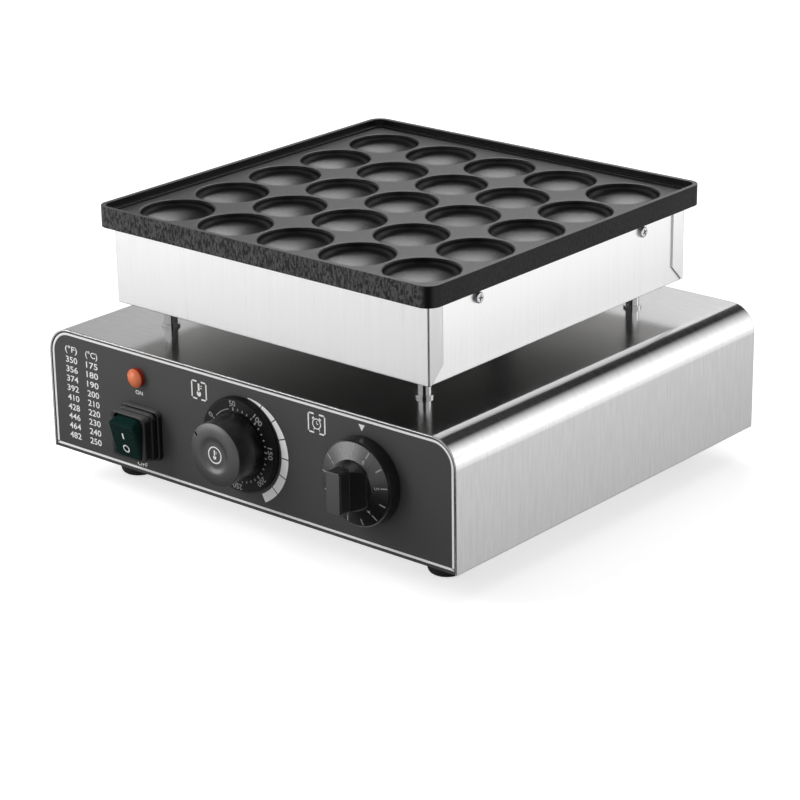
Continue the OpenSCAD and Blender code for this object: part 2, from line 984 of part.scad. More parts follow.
module timer_knob()
    color(plastic_black)
    on_front(timer_x, timer_z)
    difference() {
        union() {
            rotate_extrude()
            polygon([
                [0, timer_lift],
                [timer_d / 2, timer_lift],
                [timer_d / 2 - skirt_taper, timer_skirt - skirt_edge],
                [timer_d / 2 - skirt_taper - skirt_edge, timer_skirt],
                [skirt_cone_r, timer_skirt + skirt_rise],
                [0, timer_skirt + skirt_rise]]);
            timer_hub();
            timer_grip();
        }
        difference() {
            translate([0, 0, -eps])
            cylinder(r = timer_d / 2 - skirt_taper - knob_wall, h = timer_skirt - knob_wall);
            cylinder(d = hub_d, h = timer_reach);
        }
        translate([0, 0, -eps]) {
            cylinder(d = timer_d, h = timer_lift + eps);
            cylinder(d = hub_d + 2 * eps, h = bush_reach + turn_gap + eps);
        }
        knob_bore(timer_reach - 2 * shaft_cap);
    }

// Power switch with its rubber boot

boot_wall = 1.3;
cheek_t = 1.4;
cheek_gap = 0.3;
pivot_z = 10.5;
pivot_d = 3;
rocker_face = 6.5;
rocker_back = 4;
rocker_corner = 5;
rocker_edge = 2;
boot_step = 3;
boot_flange = 3.4;
boot_groove = 1.2;
boot_rib = 3;
boot_rib_step = 0.8;
boot_front = 4.7;
boot_round = 1;
boot_r = 4;
boot_mouth_r = 3;
cheek_x = rocker_w / 2 + cheek_gap;
boot_in_w = 2 * (cheek_x + cheek_t + fit_gap);
boot_in_h = 2 * (rocker_r + turn_gap);
switch_body_w = boot_in_w - 2 * fit_gap;
switch_body_h = boot_in_h - 2 * fit_gap;
switch_body_l = 24;
switch_collar = 2;
blade_l = 16;
blade_w = 6.3;
blade_t = 0.8;
cheek_h = 8;
boot_rib_z = boot_flange + boot_groove;
boot_front_z = boot_rib_z + boot_rib + boot_groove;
boot_top = boot_front_z + boot_front;
boot_w = boot_in_w + 2 * boot_wall;
boot_h = boot_in_h + 2 * boot_wall;
cheek_top = 1.5;

// Ring of the boot with its front edge rounded
module boot_ring(z, h, step)
    translate([0, 0, z])
    intersection() {
        linear_extrude(h)
        rounded_rect(boot_w + step, boot_h + step, boot_r);
        rotate([90, 0, 0])
        linear_extrude(2 * boot_h, center = true)
        arched_rect(boot_w + step, h, boot_round);
        rotate([90, 0, 90])
        linear_extrude(2 * boot_w, center = true)
        arched_rect(boot_h + step, h, boot_round);
    }

module switch_boot()
    color(plastic_black)
    on_front(-switch_x, switch_z)
    difference() {
        union() {
            linear_extrude(boot_top - boot_wall)
            rounded_rect(boot_w - boot_wall, boot_h - boot_wall, boot_r - boot_wall / 2);
            boot_ring(0, boot_flange, boot_step);
            boot_ring(boot_rib_z, boot_rib, boot_rib_step);
            boot_ring(boot_front_z, boot_front, 0);
        }
        translate([0, 0, -eps])
        linear_extrude(boot_top - boot_wall)
        rounded_rect(boot_in_w, boot_in_h, boot_r - boot_wall);
        linear_extrude(boot_top + 1)
        rounded_rect(rocker_w + 2 * turn_gap, boot_in_h, boot_mouth_r);
    }

module switch_body()
    color(plastic_black)
    on_front(-switch_x, switch_z)
    difference() {
        union() {
            translate([0, 0, -switch_body_l])
            linear_extrude(switch_body_l - panel_t)
            square([switch_body_w, switch_body_h], center = true);
            for (sx = [-1, 1])
                translate([sx * (cheek_x + cheek_t / 2), 0, (pivot_z + cheek_top - panel_t) / 2 - panel_t / 2])
                cube([cheek_t, cheek_h, pivot_z + cheek_top + panel_t + 2 * eps], center = true);
            translate([0, 0, -panel_t - switch_collar])
            linear_extrude(switch_collar)
            square([switch_body_w + 2 * switch_collar, switch_body_h + 2 * switch_collar], center = true);
            for (sx = [-1, 1], sy = [-1, 1])
                translate([sx * switch_body_w / 4, sy * switch_body_h / 4, -switch_body_l - blade_l / 2 + eps])
                cube([blade_w, blade_t, blade_l], center = true);
        }
        translate([0, 0, pivot_z])
        rotate([0, 90, 0])
        cylinder(d = pivot_d + 2 * run_gap, h = switch_body_w + 2, center = true);
    }

module rocker()
    color([0.06, 0.18, 0.14])
    on_front(-switch_x, switch_z)
    translate([0, 0, pivot_z])
    rotate([rocker_tilt, 0, 0])
    union() {
        intersection() {
            rotate([0, 90, 0])
            cylinder(r = rocker_r, h = rocker_w, center = true);
            translate([0, 0, -rocker_back])
            linear_extrude(rocker_back + rocker_face)
            rounded_rect(rocker_w, 2 * rocker_r, rocker_corner);
            rotate([90, 0, 0])
            translate([0, -rocker_back, -rocker_r])
            linear_extrude(2 * rocker_r)
            arched_rect(rocker_w, rocker_back + rocker_face, rocker_edge);
        }
        rotate([0, 90, 0])
        cylinder(d = pivot_d, h = 2 * (cheek_x + cheek_t), center = true);
    }

// Lamp

lamp_thread_d = 10;
lamp_wall = 3;
lamp_dome = 2;
lamp_l = 22;
lamp_nut_h = 4;

module lamp_lens()
    color([0.92, 0.43, 0.23])
    on_front(-lamp_x, lamp_z) {
        cylinder(d = lamp_d, h = lamp_wall);
        translate([0, 0, lamp_wall - eps])
        intersection() {
            cylinder(d = lamp_d - fit_gap, h = lamp_dome);
            lens_r = (pow(lamp_d / 2, 2) + pow(lamp_dome, 2)) / (2 * lamp_dome);
            translate([0, 0, lamp_dome - lens_r])
            sphere(lens_r);
        }
    }

module lamp_body()
    color(plastic_black)
    on_front(-lamp_x, lamp_z)
    translate([0, 0, -lamp_l])
    cylinder(d = lamp_thread_d, h = lamp_l);

module lamp_nut()
    color(zinc)
    on_front(-lamp_x, lamp_z)
    translate([0, 0, -panel_t - lamp_nut_h])
    hex_nut(1.5 * lamp_thread_d, lamp_thread_d + 2 * run_gap, lamp_nut_h);

// Terminal block on the bottom plate

terminal_x = 60;
terminal_y = 100;
terminal_l = 54;
terminal_w = 22;
terminal_h = 17;
terminal_n = 4;
terminal_pitch = 10;
terminal_hole = 5;
terminal_grip = 6;
terminal_edge = 4;
terminal_screw_in = 7;
drill_spare = 1;

function terminal_hole_x(i) = terminal_x + (i - (terminal_n - 1) / 2) * terminal_pitch;
terminal_hole_z = foot_h + terminal_h / 2;
terminal_front = terminal_y - terminal_w / 2;

module at_terminal_screws()
    for (sx = [-1, 1])
        translate([terminal_x + sx * (terminal_l / 2 - terminal_edge), terminal_y, 0])
        children();

module terminal_block()
    color([0.90, 0.89, 0.85])
    part_frame()
    difference() {
        translate([terminal_x - terminal_l / 2, terminal_y - terminal_w / 2, foot_h])
        cube([terminal_l, terminal_w, terminal_h]);
        for (i = [0:terminal_n - 1])
            translate([terminal_hole_x(i), terminal_y, terminal_hole_z])
            rotate([90, 0, 0])
            cylinder(d = terminal_hole, h = terminal_w + 2, center = true);
        translate([0, 0, foot_h - eps])
        at_terminal_screws()
        cylinder(d = m4, h = terminal_screw_in + drill_spare);
    }

module terminal_screws()
    color(zinc)
    part_frame()
    translate([0, 0, foot_h - bottom_t])
    at_terminal_screws()
    mirror([0, 0, 1])
    pan_screw(m4 - 2 * run_gap, bottom_t + terminal_screw_in, 1.75 * m4, 0.6 * m4);

// Cable gland in the back panel

gland_thread_d = 18;
gland_hex = 24;
gland_hex_h = 6;
gland_in = 10;
gland_wall = 3;
seal_l = 6;
gland_lip = 4;
gland_mid = gland_reach - gland_lip - seal_l;

module gland_body()
    color(plastic_black)
    on_back(gland_x, gland_z)
    difference() {
        union() {
            hex(gland_hex, gland_hex_h);
            translate([0, 0, -panel_t - gland_in])
            cylinder(d = gland_thread_d, h = panel_t + gland_in + gland_mid);
        }
        translate([0, 0, -panel_t - gland_in - eps])
        cylinder(d = gland_bore + 1, h = panel_t + gland_in + gland_mid + 2 * eps);
    }

module gland_cap()
    color(plastic_black)
    on_back(gland_x, gland_z)
    difference() {
        union() {
            translate([0, 0, gland_hex_h])
            hex(gland_hex - 1, gland_mid - gland_hex_h);
            translate([0, 0, gland_mid - eps])
            cylinder(d1 = gland_hex - 1, d2 = gland_bore + 2 * gland_wall, h = gland_reach - gland_mid + eps);
        }
        translate([0, 0, gland_hex_h - eps])
        cylinder(d = gland_thread_d + 2 * run_gap, h = gland_mid - gland_hex_h + 2 * eps);
        translate([0, 0, gland_mid])
        cylinder(d = gland_bore + 5, h = seal_l);
        cylinder(d = gland_bore, h = gland_reach + 1);
    }

module gland_seal()
    color(rubber_black)
    on_back(gland_x, gland_z)
    translate([0, 0, gland_mid])
    tube((gland_bore + 5) / 2 - run_gap, (gland_bore + 1) / 2, seal_l);

module gland_locknut()
    color(plastic_black)
    on_back(gland_x, gland_z)
    translate([0, 0, -panel_t - 5])
    hex_nut(gland_hex, gland_thread_d + 2 * run_gap, 5);

// Wiring and capillary tube, swept along bent routes

capillary_d = 2;
wire_d = 3.5;
lead_x = 3;
capillary_in = 4;
wire_bend = 8;
conduit_out = 14;
cap_drop = 26;
cap_back = 20;
cap_run = 30;
lead_low = 40;
lead_front = 16;
lead_level = 36;
lead_back = 30;
bend_steps = 4;
tube_sides = 8;
// A direction that none of the routes runs along
tube_side_ref = [0.59, 0.45, 0.67];

thermostat_back = front_y + panel_t + bracket_t + thermostat_l;
timer_back = front_y + panel_t + bracket_t + timer_can_l;
switch_back = front_y + switch_body_l + blade_l - eps;
lamp_back = front_y + lamp_l;
pin_end = leg_end + pin_l;
blade_right = -switch_x + switch_body_w / 4;
blade_left = -switch_x - switch_body_w / 4;
blade_high = foot_h + switch_z + switch_body_h / 4;
blade_low = foot_h + switch_z - switch_body_h / 4;
temp_level = foot_h + temp_z;
timer_level = foot_h + timer_z;
lamp_level = foot_h + lamp_z;

function unit(v) = v / norm(v);

// Curve that rounds the corner b between its neighbours a and c
function bend_points(a, b, c) =
    let (start = b + unit(a - b) * min(wire_bend, 0.45 * norm(a - b)),
        end = b + unit(c - b) * min(wire_bend, 0.45 * norm(c - b)))
    [for (k = [0:bend_steps]) let (t = k / bend_steps)
        (1 - t) * (1 - t) * start + 2 * t * (1 - t) * b + t * t * end];

function bent_route(route) =
    concat([route[0]],
        [for (i = [1:len(route) - 2]) each bend_points(route[i - 1], route[i], route[i + 1])],
        [route[len(route) - 1]]);

function route_dir(route, i) =
    unit(route[min(i + 1, len(route) - 1)] - route[max(i - 1, 0)]);

function route_ring(route, i, d) =
    let (dir = route_dir(route, i), u = unit(cross(dir, tube_side_ref)), v = cross(dir, u))
    [for (k = [0:tube_sides - 1])
        route[i] + d / 2 * (u * cos(360 * k / tube_sides) + v * sin(360 * k / tube_sides))];

module swept_tube(corners, d) {
    route = bent_route(corners);
    last = len(route) - 1;
    n = tube_sides;
    points = [for (i = [0:last]) each route_ring(route, i, d)];
    walls = [for (i = [0:last - 1], k = [0:n - 1])
        each [[i * n + k, i * n + (k + 1) % n, (i + 1) * n + k],
            [i * n + (k + 1) % n, (i + 1) * n + (k + 1) % n, (i + 1) * n + k]]];
    ends = [[for (k = [0:n - 1]) n - 1 - k], [for (k = [0:n - 1]) last * n + k]];
    polyhedron(points, concat(walls, ends));
}

// From the bulb, below the element's rear bend and down the conduit to the thermostat
module capillary_tube()
    color([0.72, 0.45, 0.30])
    part_frame()
    swept_tube([
        [bulb_x, bulb_back, tube_z],
        [bulb_x, clamp_back + 4, tube_z],
        [bulb_x, clamp_back + 14, clamp_z - 4],
        [bulb_x, wire_y - 14, clamp_z - 4],
        [0, wire_y - capillary_in, box_z + 24],
        [0, wire_y - capillary_in, base_top - conduit_out],
        [0, wire_y - cap_back, base_top - cap_drop],
        [0, thermostat_back + cap_run, base_top - cap_drop],
        [0, thermostat_back + cap_run / 2, temp_level],
        [0, thermostat_back, temp_level]], capillary_d);

// From a pin of the element to the conduit and down into the base
function lead_drop(sx) = [
    [sx * 3 * leg_x, pin_end, tube_z],
    [sx * 3 * leg_x, pin_end + 12, tube_z],
    [sx * 2 * leg_x, pin_end + 12, tube_z - 10],
    [sx * leg_x / 2, wire_y + 2, box_z + 26],
    [sx * lead_x, wire_y, box_z + 18],
    [sx * lead_x, wire_y, base_top - conduit_out]];

module element_leads()
    color([0.85, 0.83, 0.78])
    part_frame() {
        swept_tube(concat(lead_drop(1), [
            [terminal_hole_x(0), terminal_front - lead_front, base_top - lead_low],
            [terminal_hole_x(0), terminal_front - lead_front, terminal_hole_z],
            [terminal_hole_x(0), terminal_front + terminal_grip, terminal_hole_z]]), wire_d);
        swept_tube(concat(lead_drop(-1), [
            [-thermostat_w / 4, wire_y - lead_back, base_top - lead_level],
            [-thermostat_w / 4, thermostat_back + 25, temp_level + 4],
            [-thermostat_w / 4, thermostat_back, temp_level + 4]]), wire_d);
    }

module control_wires()
    color([0.45, 0.30, 0.20])
    part_frame() {
        // Terminal block to switch
        swept_tube([
            [terminal_hole_x(1), terminal_front + terminal_grip, terminal_hole_z],
            [terminal_hole_x(1), terminal_front - 20, terminal_hole_z],
            [0, 0, foot_h + 10],
            [blade_right, switch_back + 22, blade_low],
            [blade_right, switch_back, blade_low]], wire_d);
        // Switch to timer
        swept_tube([
            [blade_right, switch_back, blade_high],
            [blade_right, switch_back + 10, blade_high],
            [blade_right / 2, switch_back + 16, temp_level - 10],
            [timer_x / 2, switch_back + 16, temp_level - 10],
            [timer_x, timer_back + 14, timer_level],
            [timer_x, timer_back, timer_level]], wire_d);
        // Timer to thermostat
        swept_tube([
            [timer_x - 10, timer_back, timer_level - 12],
            [timer_x - 10, timer_back + 12, timer_level - 12],
            [timer_x / 2, timer_back + 13, temp_level - 20],
            [thermostat_w / 4, thermostat_back + 14, temp_level - 8],
            [thermostat_w / 4, thermostat_back, temp_level - 8]], wire_d);
        // Switch to lamp
        swept_tube([
            [-lamp_x + 2.5, lamp_back, lamp_level],
            [-lamp_x + 2.5, lamp_back + 14, lamp_level],
            [blade_left, switch_back + 20, lamp_level - 12],
            [blade_left, switch_back + 10, blade_high],
            [blade_left, switch_back, blade_high]], wire_d);
        swept_tube([
            [-lamp_x - 2.5, lamp_back, lamp_level],
            [-lamp_x - 2.5, lamp_back + 14, lamp_level],
            [-lamp_x - 18, switch_back + 18, lamp_level - 22],
            [blade_left, switch_back + 12, blade_low],
            [blade_left, switch_back, blade_low]], wire_d);
    }

baking_plate();
box_tray();
box_front_cover();
box_rear_cover();
box_screws();
heating_element();
element_clamp();
clamp_studs();
clamp_nuts();
heat_reflector();
insulation_pad();
sensor_bulb();
capillary_tube();
element_leads();
control_wires();
post_front_left();
post_front_right();
post_rear_left();
post_rear_right();
post_washers();
post_bolts();
post_nuts();
wire_conduit();
conduit_nuts();
base_wrap();
front_panel();
back_panel();
bottom_plate();
bottom_screws();
foot_front_left();
foot_front_right();
foot_rear_left();
foot_rear_right();
foot_screws();
thermostat_body();
thermostat_shaft();
thermostat_screws();
temperature_dial();
temperature_knob();
timer_body();
timer_shaft();
timer_screws();
timer_knob();
switch_body();
switch_boot();
rocker();
lamp_lens();
lamp_body();
lamp_nut();
terminal_block();
terminal_screws();
gland_body();
gland_cap();
gland_seal();
gland_locknut();
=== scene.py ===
import json
import math
import bpy
from mathutils import Matrix, Vector


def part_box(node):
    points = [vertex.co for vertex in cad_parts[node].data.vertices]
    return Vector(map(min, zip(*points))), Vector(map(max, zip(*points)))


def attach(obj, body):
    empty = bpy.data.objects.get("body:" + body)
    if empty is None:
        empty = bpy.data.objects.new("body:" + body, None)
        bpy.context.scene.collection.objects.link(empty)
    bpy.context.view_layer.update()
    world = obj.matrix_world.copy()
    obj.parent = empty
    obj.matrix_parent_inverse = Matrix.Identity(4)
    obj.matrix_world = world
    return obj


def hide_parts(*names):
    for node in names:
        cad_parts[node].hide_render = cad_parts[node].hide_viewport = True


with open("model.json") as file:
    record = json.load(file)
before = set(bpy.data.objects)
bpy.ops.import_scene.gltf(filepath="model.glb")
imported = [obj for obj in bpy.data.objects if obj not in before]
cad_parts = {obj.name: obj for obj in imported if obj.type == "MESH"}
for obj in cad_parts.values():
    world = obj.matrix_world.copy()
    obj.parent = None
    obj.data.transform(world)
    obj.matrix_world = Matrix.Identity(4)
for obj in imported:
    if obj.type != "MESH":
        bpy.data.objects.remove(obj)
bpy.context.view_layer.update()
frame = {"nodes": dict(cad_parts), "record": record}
nodes = frame["nodes"]
mm = 0.001


def deselectAll():
    bpy.ops.object.select_all(action="DESELECT")


def takeOnly(thing):
    deselectAll()
    thing.select_set(True)
    bpy.context.view_layer.objects.active = thing


def applyPlace(thing):
    takeOnly(thing)
    bpy.ops.object.transform_apply(location=True, rotation=True, scale=True)


def joinAs(name, things):
    deselectAll()
    for thing in things:
        thing.select_set(True)
    bpy.context.view_layer.objects.active = things[0]
    bpy.ops.object.join()
    whole = bpy.context.view_layer.objects.active
    whole.name = name
    whole.data.name = name
    return whole


def dressIn(piece, material):
    piece.data.materials.clear()
    piece.data.materials.append(material)


deselectAll()

# camera, as the photo was taken
view = {
    "place": (1.05774, -1.24102, 0.65398),
    "right": (0.76379, 0.64532, -0.0139),
    "up": (-0.21601, 0.27584, 0.93662),
    "back": (0.60825, -0.71237, 0.35008),
    "lens": 124.361,
    "sensor": 36.0,
    "farthest": 50,
}
bpy.ops.object.camera_add()
camera = bpy.context.object
camera.data.lens = view["lens"]
camera.data.sensor_width = view["sensor"]
camera.data.clip_end = view["farthest"]
turn = Matrix((view["right"], view["up"], view["back"])).transposed().to_4x4()
camera.matrix_world = Matrix.Translation(view["place"]) @ turn
bpy.context.scene.camera = camera
bpy.context.scene.view_settings.view_transform = "Standard"
print("camera set")


# shader helpers

def addNode(tree, kind, inputs=None, **settings):
    node = tree.nodes.new("ShaderNode" + kind)
    for label, value in settings.items():
        setattr(node, label, value)
    for label, value in (inputs or {}).items():
        node.inputs[label].default_value = value
    return node


def startGroup(name, inputs, outputs):
    group = bpy.data.node_groups.new(name, "ShaderNodeTree")
    for label, kind, value in inputs:
        socket = group.interface.new_socket(label, in_out="INPUT", socket_type="NodeSocket" + kind)
        if value is not None:
            socket.default_value = value
    for label, kind in outputs:
        group.interface.new_socket(label, in_out="OUTPUT", socket_type="NodeSocket" + kind)
    return group, group.nodes.new("NodeGroupInput"), group.nodes.new("NodeGroupOutput")


noiseReach = {"From Min": 0.3, "From Max": 0.7}  # most of the noise lies between these


def makeBrushLines():
    group, enter, leave = startGroup(
        "brushLines",
        [("Vector", "Vector", None), ("Stretch", "Vector", (1.0, 1.0, 1.0)),
         ("Low", "Float", 0.3), ("High", "Float", 0.5)],
        [("Lines", "Float"), ("Value", "Float")])
    stretch = addNode(group, "VectorMath", operation="MULTIPLY")
    fine = addNode(group, "TexNoise", {"Scale": 1.0, "Detail": 4.0, "Roughness": 0.65})
    spread = addNode(group, "MapRange", noiseReach)
    link = group.links.new
    link(enter.outputs["Vector"], stretch.inputs[0])
    link(enter.outputs["Stretch"], stretch.inputs[1])
    link(stretch.outputs["Vector"], fine.inputs["Vector"])
    link(fine.outputs["Fac"], spread.inputs["Value"])
    link(enter.outputs["Low"], spread.inputs["To Min"])
    link(enter.outputs["High"], spread.inputs["To Max"])
    link(fine.outputs["Fac"], leave.inputs["Lines"])
    link(spread.outputs["Result"], leave.inputs["Value"])
    return group


def makeFineGrain():
    group, enter, leave = startGroup(
        "fineGrain",
        [("Vector", "Vector", None), ("Scale", "Float", 800.0),
         ("Low", "Float", 0.4), ("High", "Float", 0.6)],
        [("Grain", "Float"), ("Value", "Float")])
    grain = addNode(group, "TexNoise", {"Detail": 3.0})
    cloud = addNode(group, "TexNoise", {"Scale": 14.0, "Detail": 2.0})
    blend = addNode(group, "Mix", {"Factor": 0.5})
    spread = addNode(group, "MapRange", noiseReach)
    link = group.links.new
    link(enter.outputs["Vector"], grain.inputs["Vector"])
    link(enter.outputs["Scale"], grain.inputs["Scale"])
    link(enter.outputs["Vector"], cloud.inputs["Vector"])
    link(grain.outputs["Fac"], blend.inputs["A"])
    link(cloud.outputs["Fac"], blend.inputs["B"])
    link(blend.outputs["Result"], spread.inputs["Value"])
    link(enter.outputs["Low"], spread.inputs["To Min"])
    link(enter.outputs["High"], spread.inputs["To Max"])
    link(grain.outputs["Fac"], leave.inputs["Grain"])
    link(spread.outputs["Result"], leave.inputs["Value"])
    return group


def makeSoftEdge():
    group, enter, leave = startGroup(
        "softEdge", [("Radius", "Float", 0.0004)], [("Normal", "Vector"), ("Edge", "Float")])
    bevel = addNode(group, "Bevel", samples=6)
    plain = addNode(group, "NewGeometry")
    match = addNode(group, "VectorMath", operation="DOT_PRODUCT")
    spread = addNode(group, "MapRange", {"From Min": 0.99, "From Max": 0.75})
    link = group.links.new
    link(enter.outputs["Radius"], bevel.inputs["Radius"])
    link(bevel.outputs["Normal"], match.inputs[0])
    link(plain.outputs["Normal"], match.inputs[1])
    link(match.outputs["Value"], spread.inputs["Value"])
    link(bevel.outputs["Normal"], leave.inputs["Normal"])
    link(spread.outputs["Result"], leave.inputs["Edge"])
    return group


brushLines = makeBrushLines()
fineGrain = makeFineGrain()
softEdge = makeSoftEdge()


def startMaterial(name):
    mat = bpy.data.materials.new(name)
    mat.use_nodes = True
    tree = mat.node_tree
    where = addNode(tree, "TexCoord").outputs["Object"]
    return mat, tree, tree.nodes["Principled BSDF"], where


def addGroup(tree, group, where=None, **values):
    node = addNode(tree, "Group", values, node_tree=group)
    if where is not None:
        tree.links.new(where, node.inputs["Vector"])
    return node


def mixColours(tree, factor, first, second):
    mix = addNode(tree, "Mix", data_type="RGBA")
    for label, colour in (("A", first), ("B", second)):
        if isinstance(colour, tuple):
            mix.inputs[label].default_value = (*colour, 1.0)
        else:
            tree.links.new(colour, mix.inputs[label])
    tree.links.new(factor, mix.inputs["Factor"])
    return mix.outputs["Result"]


def joinValues(tree, operation, first, second):
    step = addNode(tree, "Math", operation=operation)
    for socket, value in zip(step.inputs, (first, second)):
        if isinstance(value, float):
            socket.default_value = value
        else:
            tree.links.new(value, socket)
    return step.outputs[0]


def fadeMask(tree, value, none, full):  # 0 to 1 as the value goes from none to full
    spread = addNode(tree, "MapRange", {"From Min": none, "From Max": full})
    tree.links.new(value, spread.inputs["Value"])
    return spread.outputs["Result"]


def facing(tree, axis):
    split = addNode(tree, "SeparateXYZ")
    tree.links.new(addNode(tree, "TexCoord").outputs["Normal"], split.inputs["Vector"])
    return split.outputs[axis]


def squareReach(tree, where, middle):  # how far out a point lies, measured square to the sides
    shift = addNode(tree, "VectorMath", {1: middle}, operation="SUBTRACT")
    size = addNode(tree, "VectorMath", operation="ABSOLUTE")
    split = addNode(tree, "SeparateXYZ")
    tree.links.new(where, shift.inputs[0])
    tree.links.new(shift.outputs["Vector"], size.inputs[0])
    tree.links.new(size.outputs["Vector"], split.inputs["Vector"])
    return joinValues(tree, "MAXIMUM", split.outputs["X"], split.outputs["Y"])


def bumpOn(tree, shader, height, strength, depth, normal=None):
    bump = addNode(tree, "Bump", {"Strength": strength, "Distance": depth})
    tree.links.new(height, bump.inputs["Height"])
    if normal is not None:
        tree.links.new(normal, bump.inputs["Normal"])
    tree.links.new(bump.outputs["Normal"], shader.inputs["Normal"])


def grey(level):
    return (level, level, level)


# how far a face has to turn before a tint begins, and where it is full
turned = {"up": (0.1, 0.8), "down": (-0.6, -0.9), "right": (0.5, 0.95), "left": (-0.5, -0.95),
          "rimFace": (0.8, 0.96), "lensShadeSide": (-0.97, -0.5)}
bumpDepth = {"brushed": 0.00005, "moulded": 0.0001, "lens": 0.0002}


def brushedMetal(name, light, dark, stretch, rough, bump, edgeRadius, under=None, flapShade=None):
    mat, tree, shader, where = startMaterial(name)
    shader.inputs["Metallic"].default_value = 1.0
    lines = addGroup(tree, brushLines, where, Stretch=stretch, Low=rough[0], High=rough[1])
    edge = addGroup(tree, softEdge, Radius=edgeRadius)
    colour = mixColours(tree, lines.outputs["Lines"], dark, light)
    if under:  # painted shade: the faces that look down are darkened as if in shadow
        shadedBelow = fadeMask(tree, facing(tree, "Z"), *turned["down"])
        colour = mixColours(tree, shadedBelow, colour, under)
    if flapShade:  # painted shade: the folded ends, which face sideways, are darkened as if they leaned out of the light, and their cut edges are darkened partly as dull cut edges and partly as a painted shadow line along them
        for way in ("right", "left"):
            side = fadeMask(tree, facing(tree, "X"), *turned[way])
            colour = mixColours(tree, side, colour, flapShade["face"])
        colour = mixColours(tree, edge.outputs["Edge"], colour, flapShade["edge"])
    tree.links.new(colour, shader.inputs["Base Color"])
    tree.links.new(lines.outputs["Value"], shader.inputs["Roughness"])
    bumpOn(tree, shader, lines.outputs["Lines"], bump, bumpDepth["brushed"], edge.outputs["Normal"])
    return mat


def mouldedSkin(name, colour, worn, scale, rough, bump, edgeRadius, gloss=0.5, coat=0.0, rim=None, top=None):
    mat, tree, shader, where = startMaterial(name)
    shader.inputs["Specular IOR Level"].default_value = gloss
    shader.inputs["Coat Weight"].default_value = coat
    shader.inputs["Coat Roughness"].default_value = rough[0]
    grain = addGroup(tree, fineGrain, where, Scale=scale, Low=rough[0], High=rough[1])
    edge = addGroup(tree, softEdge, Radius=edgeRadius)
    shade = mixColours(tree, edge.outputs["Edge"], colour, worn)
    if top:  # painted light: lighter grey where it faces up, as if lit from above
        paintedLightAbove = fadeMask(tree, facing(tree, "Z"), *turned["up"])
        shade = mixColours(tree, paintedLightAbove, shade, top)
    dull = grain.outputs["Value"]
    if rim:  # rough casting grain on the outer faces, with painted shade: the grain is much darker on the faces that look sideways than on front and back, and the rounded corners get no grain and stay dark
        lines = addGroup(tree, brushLines, where, Stretch=rim["stretch"], Low=rim["low"], High=rim["high"])
        outer = fadeMask(tree, squareReach(tree, where, rim["middle"]), *rim["reach"])
        for axis, light in (("X", rim["sides"]), ("Y", rim["ends"])):
            along = facing(tree, axis)
            flat = fadeMask(tree, joinValues(tree, "MULTIPLY", along, along), *turned["rimFace"])
            mask = joinValues(tree, "MULTIPLY", outer, flat)
            shade = mixColours(tree, mask, shade, mixColours(tree, lines.outputs["Value"], colour, light))
            dull = joinValues(tree, "ADD", dull, joinValues(tree, "MULTIPLY", mask, rim["dull"]))
    tree.links.new(shade, shader.inputs["Base Color"])
    tree.links.new(dull, shader.inputs["Roughness"])
    bumpOn(tree, shader, grain.outputs["Grain"], bump, bumpDepth["moulded"], edge.outputs["Normal"])
    return mat


def lampPlastic(name, face, side, scale, rough, bump, soft, softReach):
    mat, tree, shader, where = startMaterial(name)
    grain = addGroup(tree, fineGrain, where, Scale=scale, Low=rough[0], High=rough[1])
    colour = mixColours(tree, grain.outputs["Grain"], *face)
    paintedShadeRound = fadeMask(tree, facing(tree, "Y"), *turned["lensShadeSide"])  # painted shade: deeper red on the faces round the edge of the lens
    tree.links.new(mixColours(tree, paintedShadeRound, colour, side), shader.inputs["Base Color"])
    tree.links.new(grain.outputs["Value"], shader.inputs["Roughness"])
    bumpOn(tree, shader, grain.outputs["Grain"], bump, bumpDepth["lens"])
    shader.inputs["Subsurface Weight"].default_value = soft
    shader.inputs["Subsurface Radius"].default_value = softReach
    return mat


# finishes
metals = {
    # in boxSheet the colour for the faces that look down is painted shade
    "boxSheet": {"light": grey(0.95), "dark": grey(0.83), "stretch": (700, 700, 8), "rough": (0.26, 0.40),
                 "bump": 0.06, "edgeRadius": 0.0008, "under": (0.27, 0.265, 0.26)},
    "baseSheet": {"light": grey(0.91), "dark": grey(0.72), "stretch": (60, 560, 60), "rough": (0.10, 0.18),
                  "bump": 0.05, "edgeRadius": 0.0011},
    "postChrome": {"light": grey(0.82), "dark": grey(0.66), "stretch": (60, 60, 900), "rough": (0.10, 0.20),
                   "bump": 0.05, "edgeRadius": 0.0003},
    "zincPlate": {"light": (0.72, 0.72, 0.74), "dark": (0.55, 0.56, 0.58), "stretch": (300, 300, 300),
                  "rough": (0.25, 0.4), "bump": 0.05, "edgeRadius": 0.0003},
    "dullSteel": {"light": (0.60, 0.60, 0.59), "dark": grey(0.42), "stretch": (20, 300, 20),
                  "rough": (0.35, 0.5), "bump": 0.05, "edgeRadius": 0.0003},
    "copperTube": {"light": (0.76, 0.44, 0.29), "dark": (0.58, 0.30, 0.18), "stretch": (200, 30, 200),
                   "rough": (0.28, 0.42), "bump": 0.05, "edgeRadius": 0.0002},
}
# the flap colours are painted shade: a darker face for the folded ends and a darker line along their cut edges
boxFlapShade = {"box_front_cover": {"face": grey(0.67), "edge": grey(0.4)},
            "box_rear_cover": {"face": grey(0.86), "edge": grey(0.6)}}

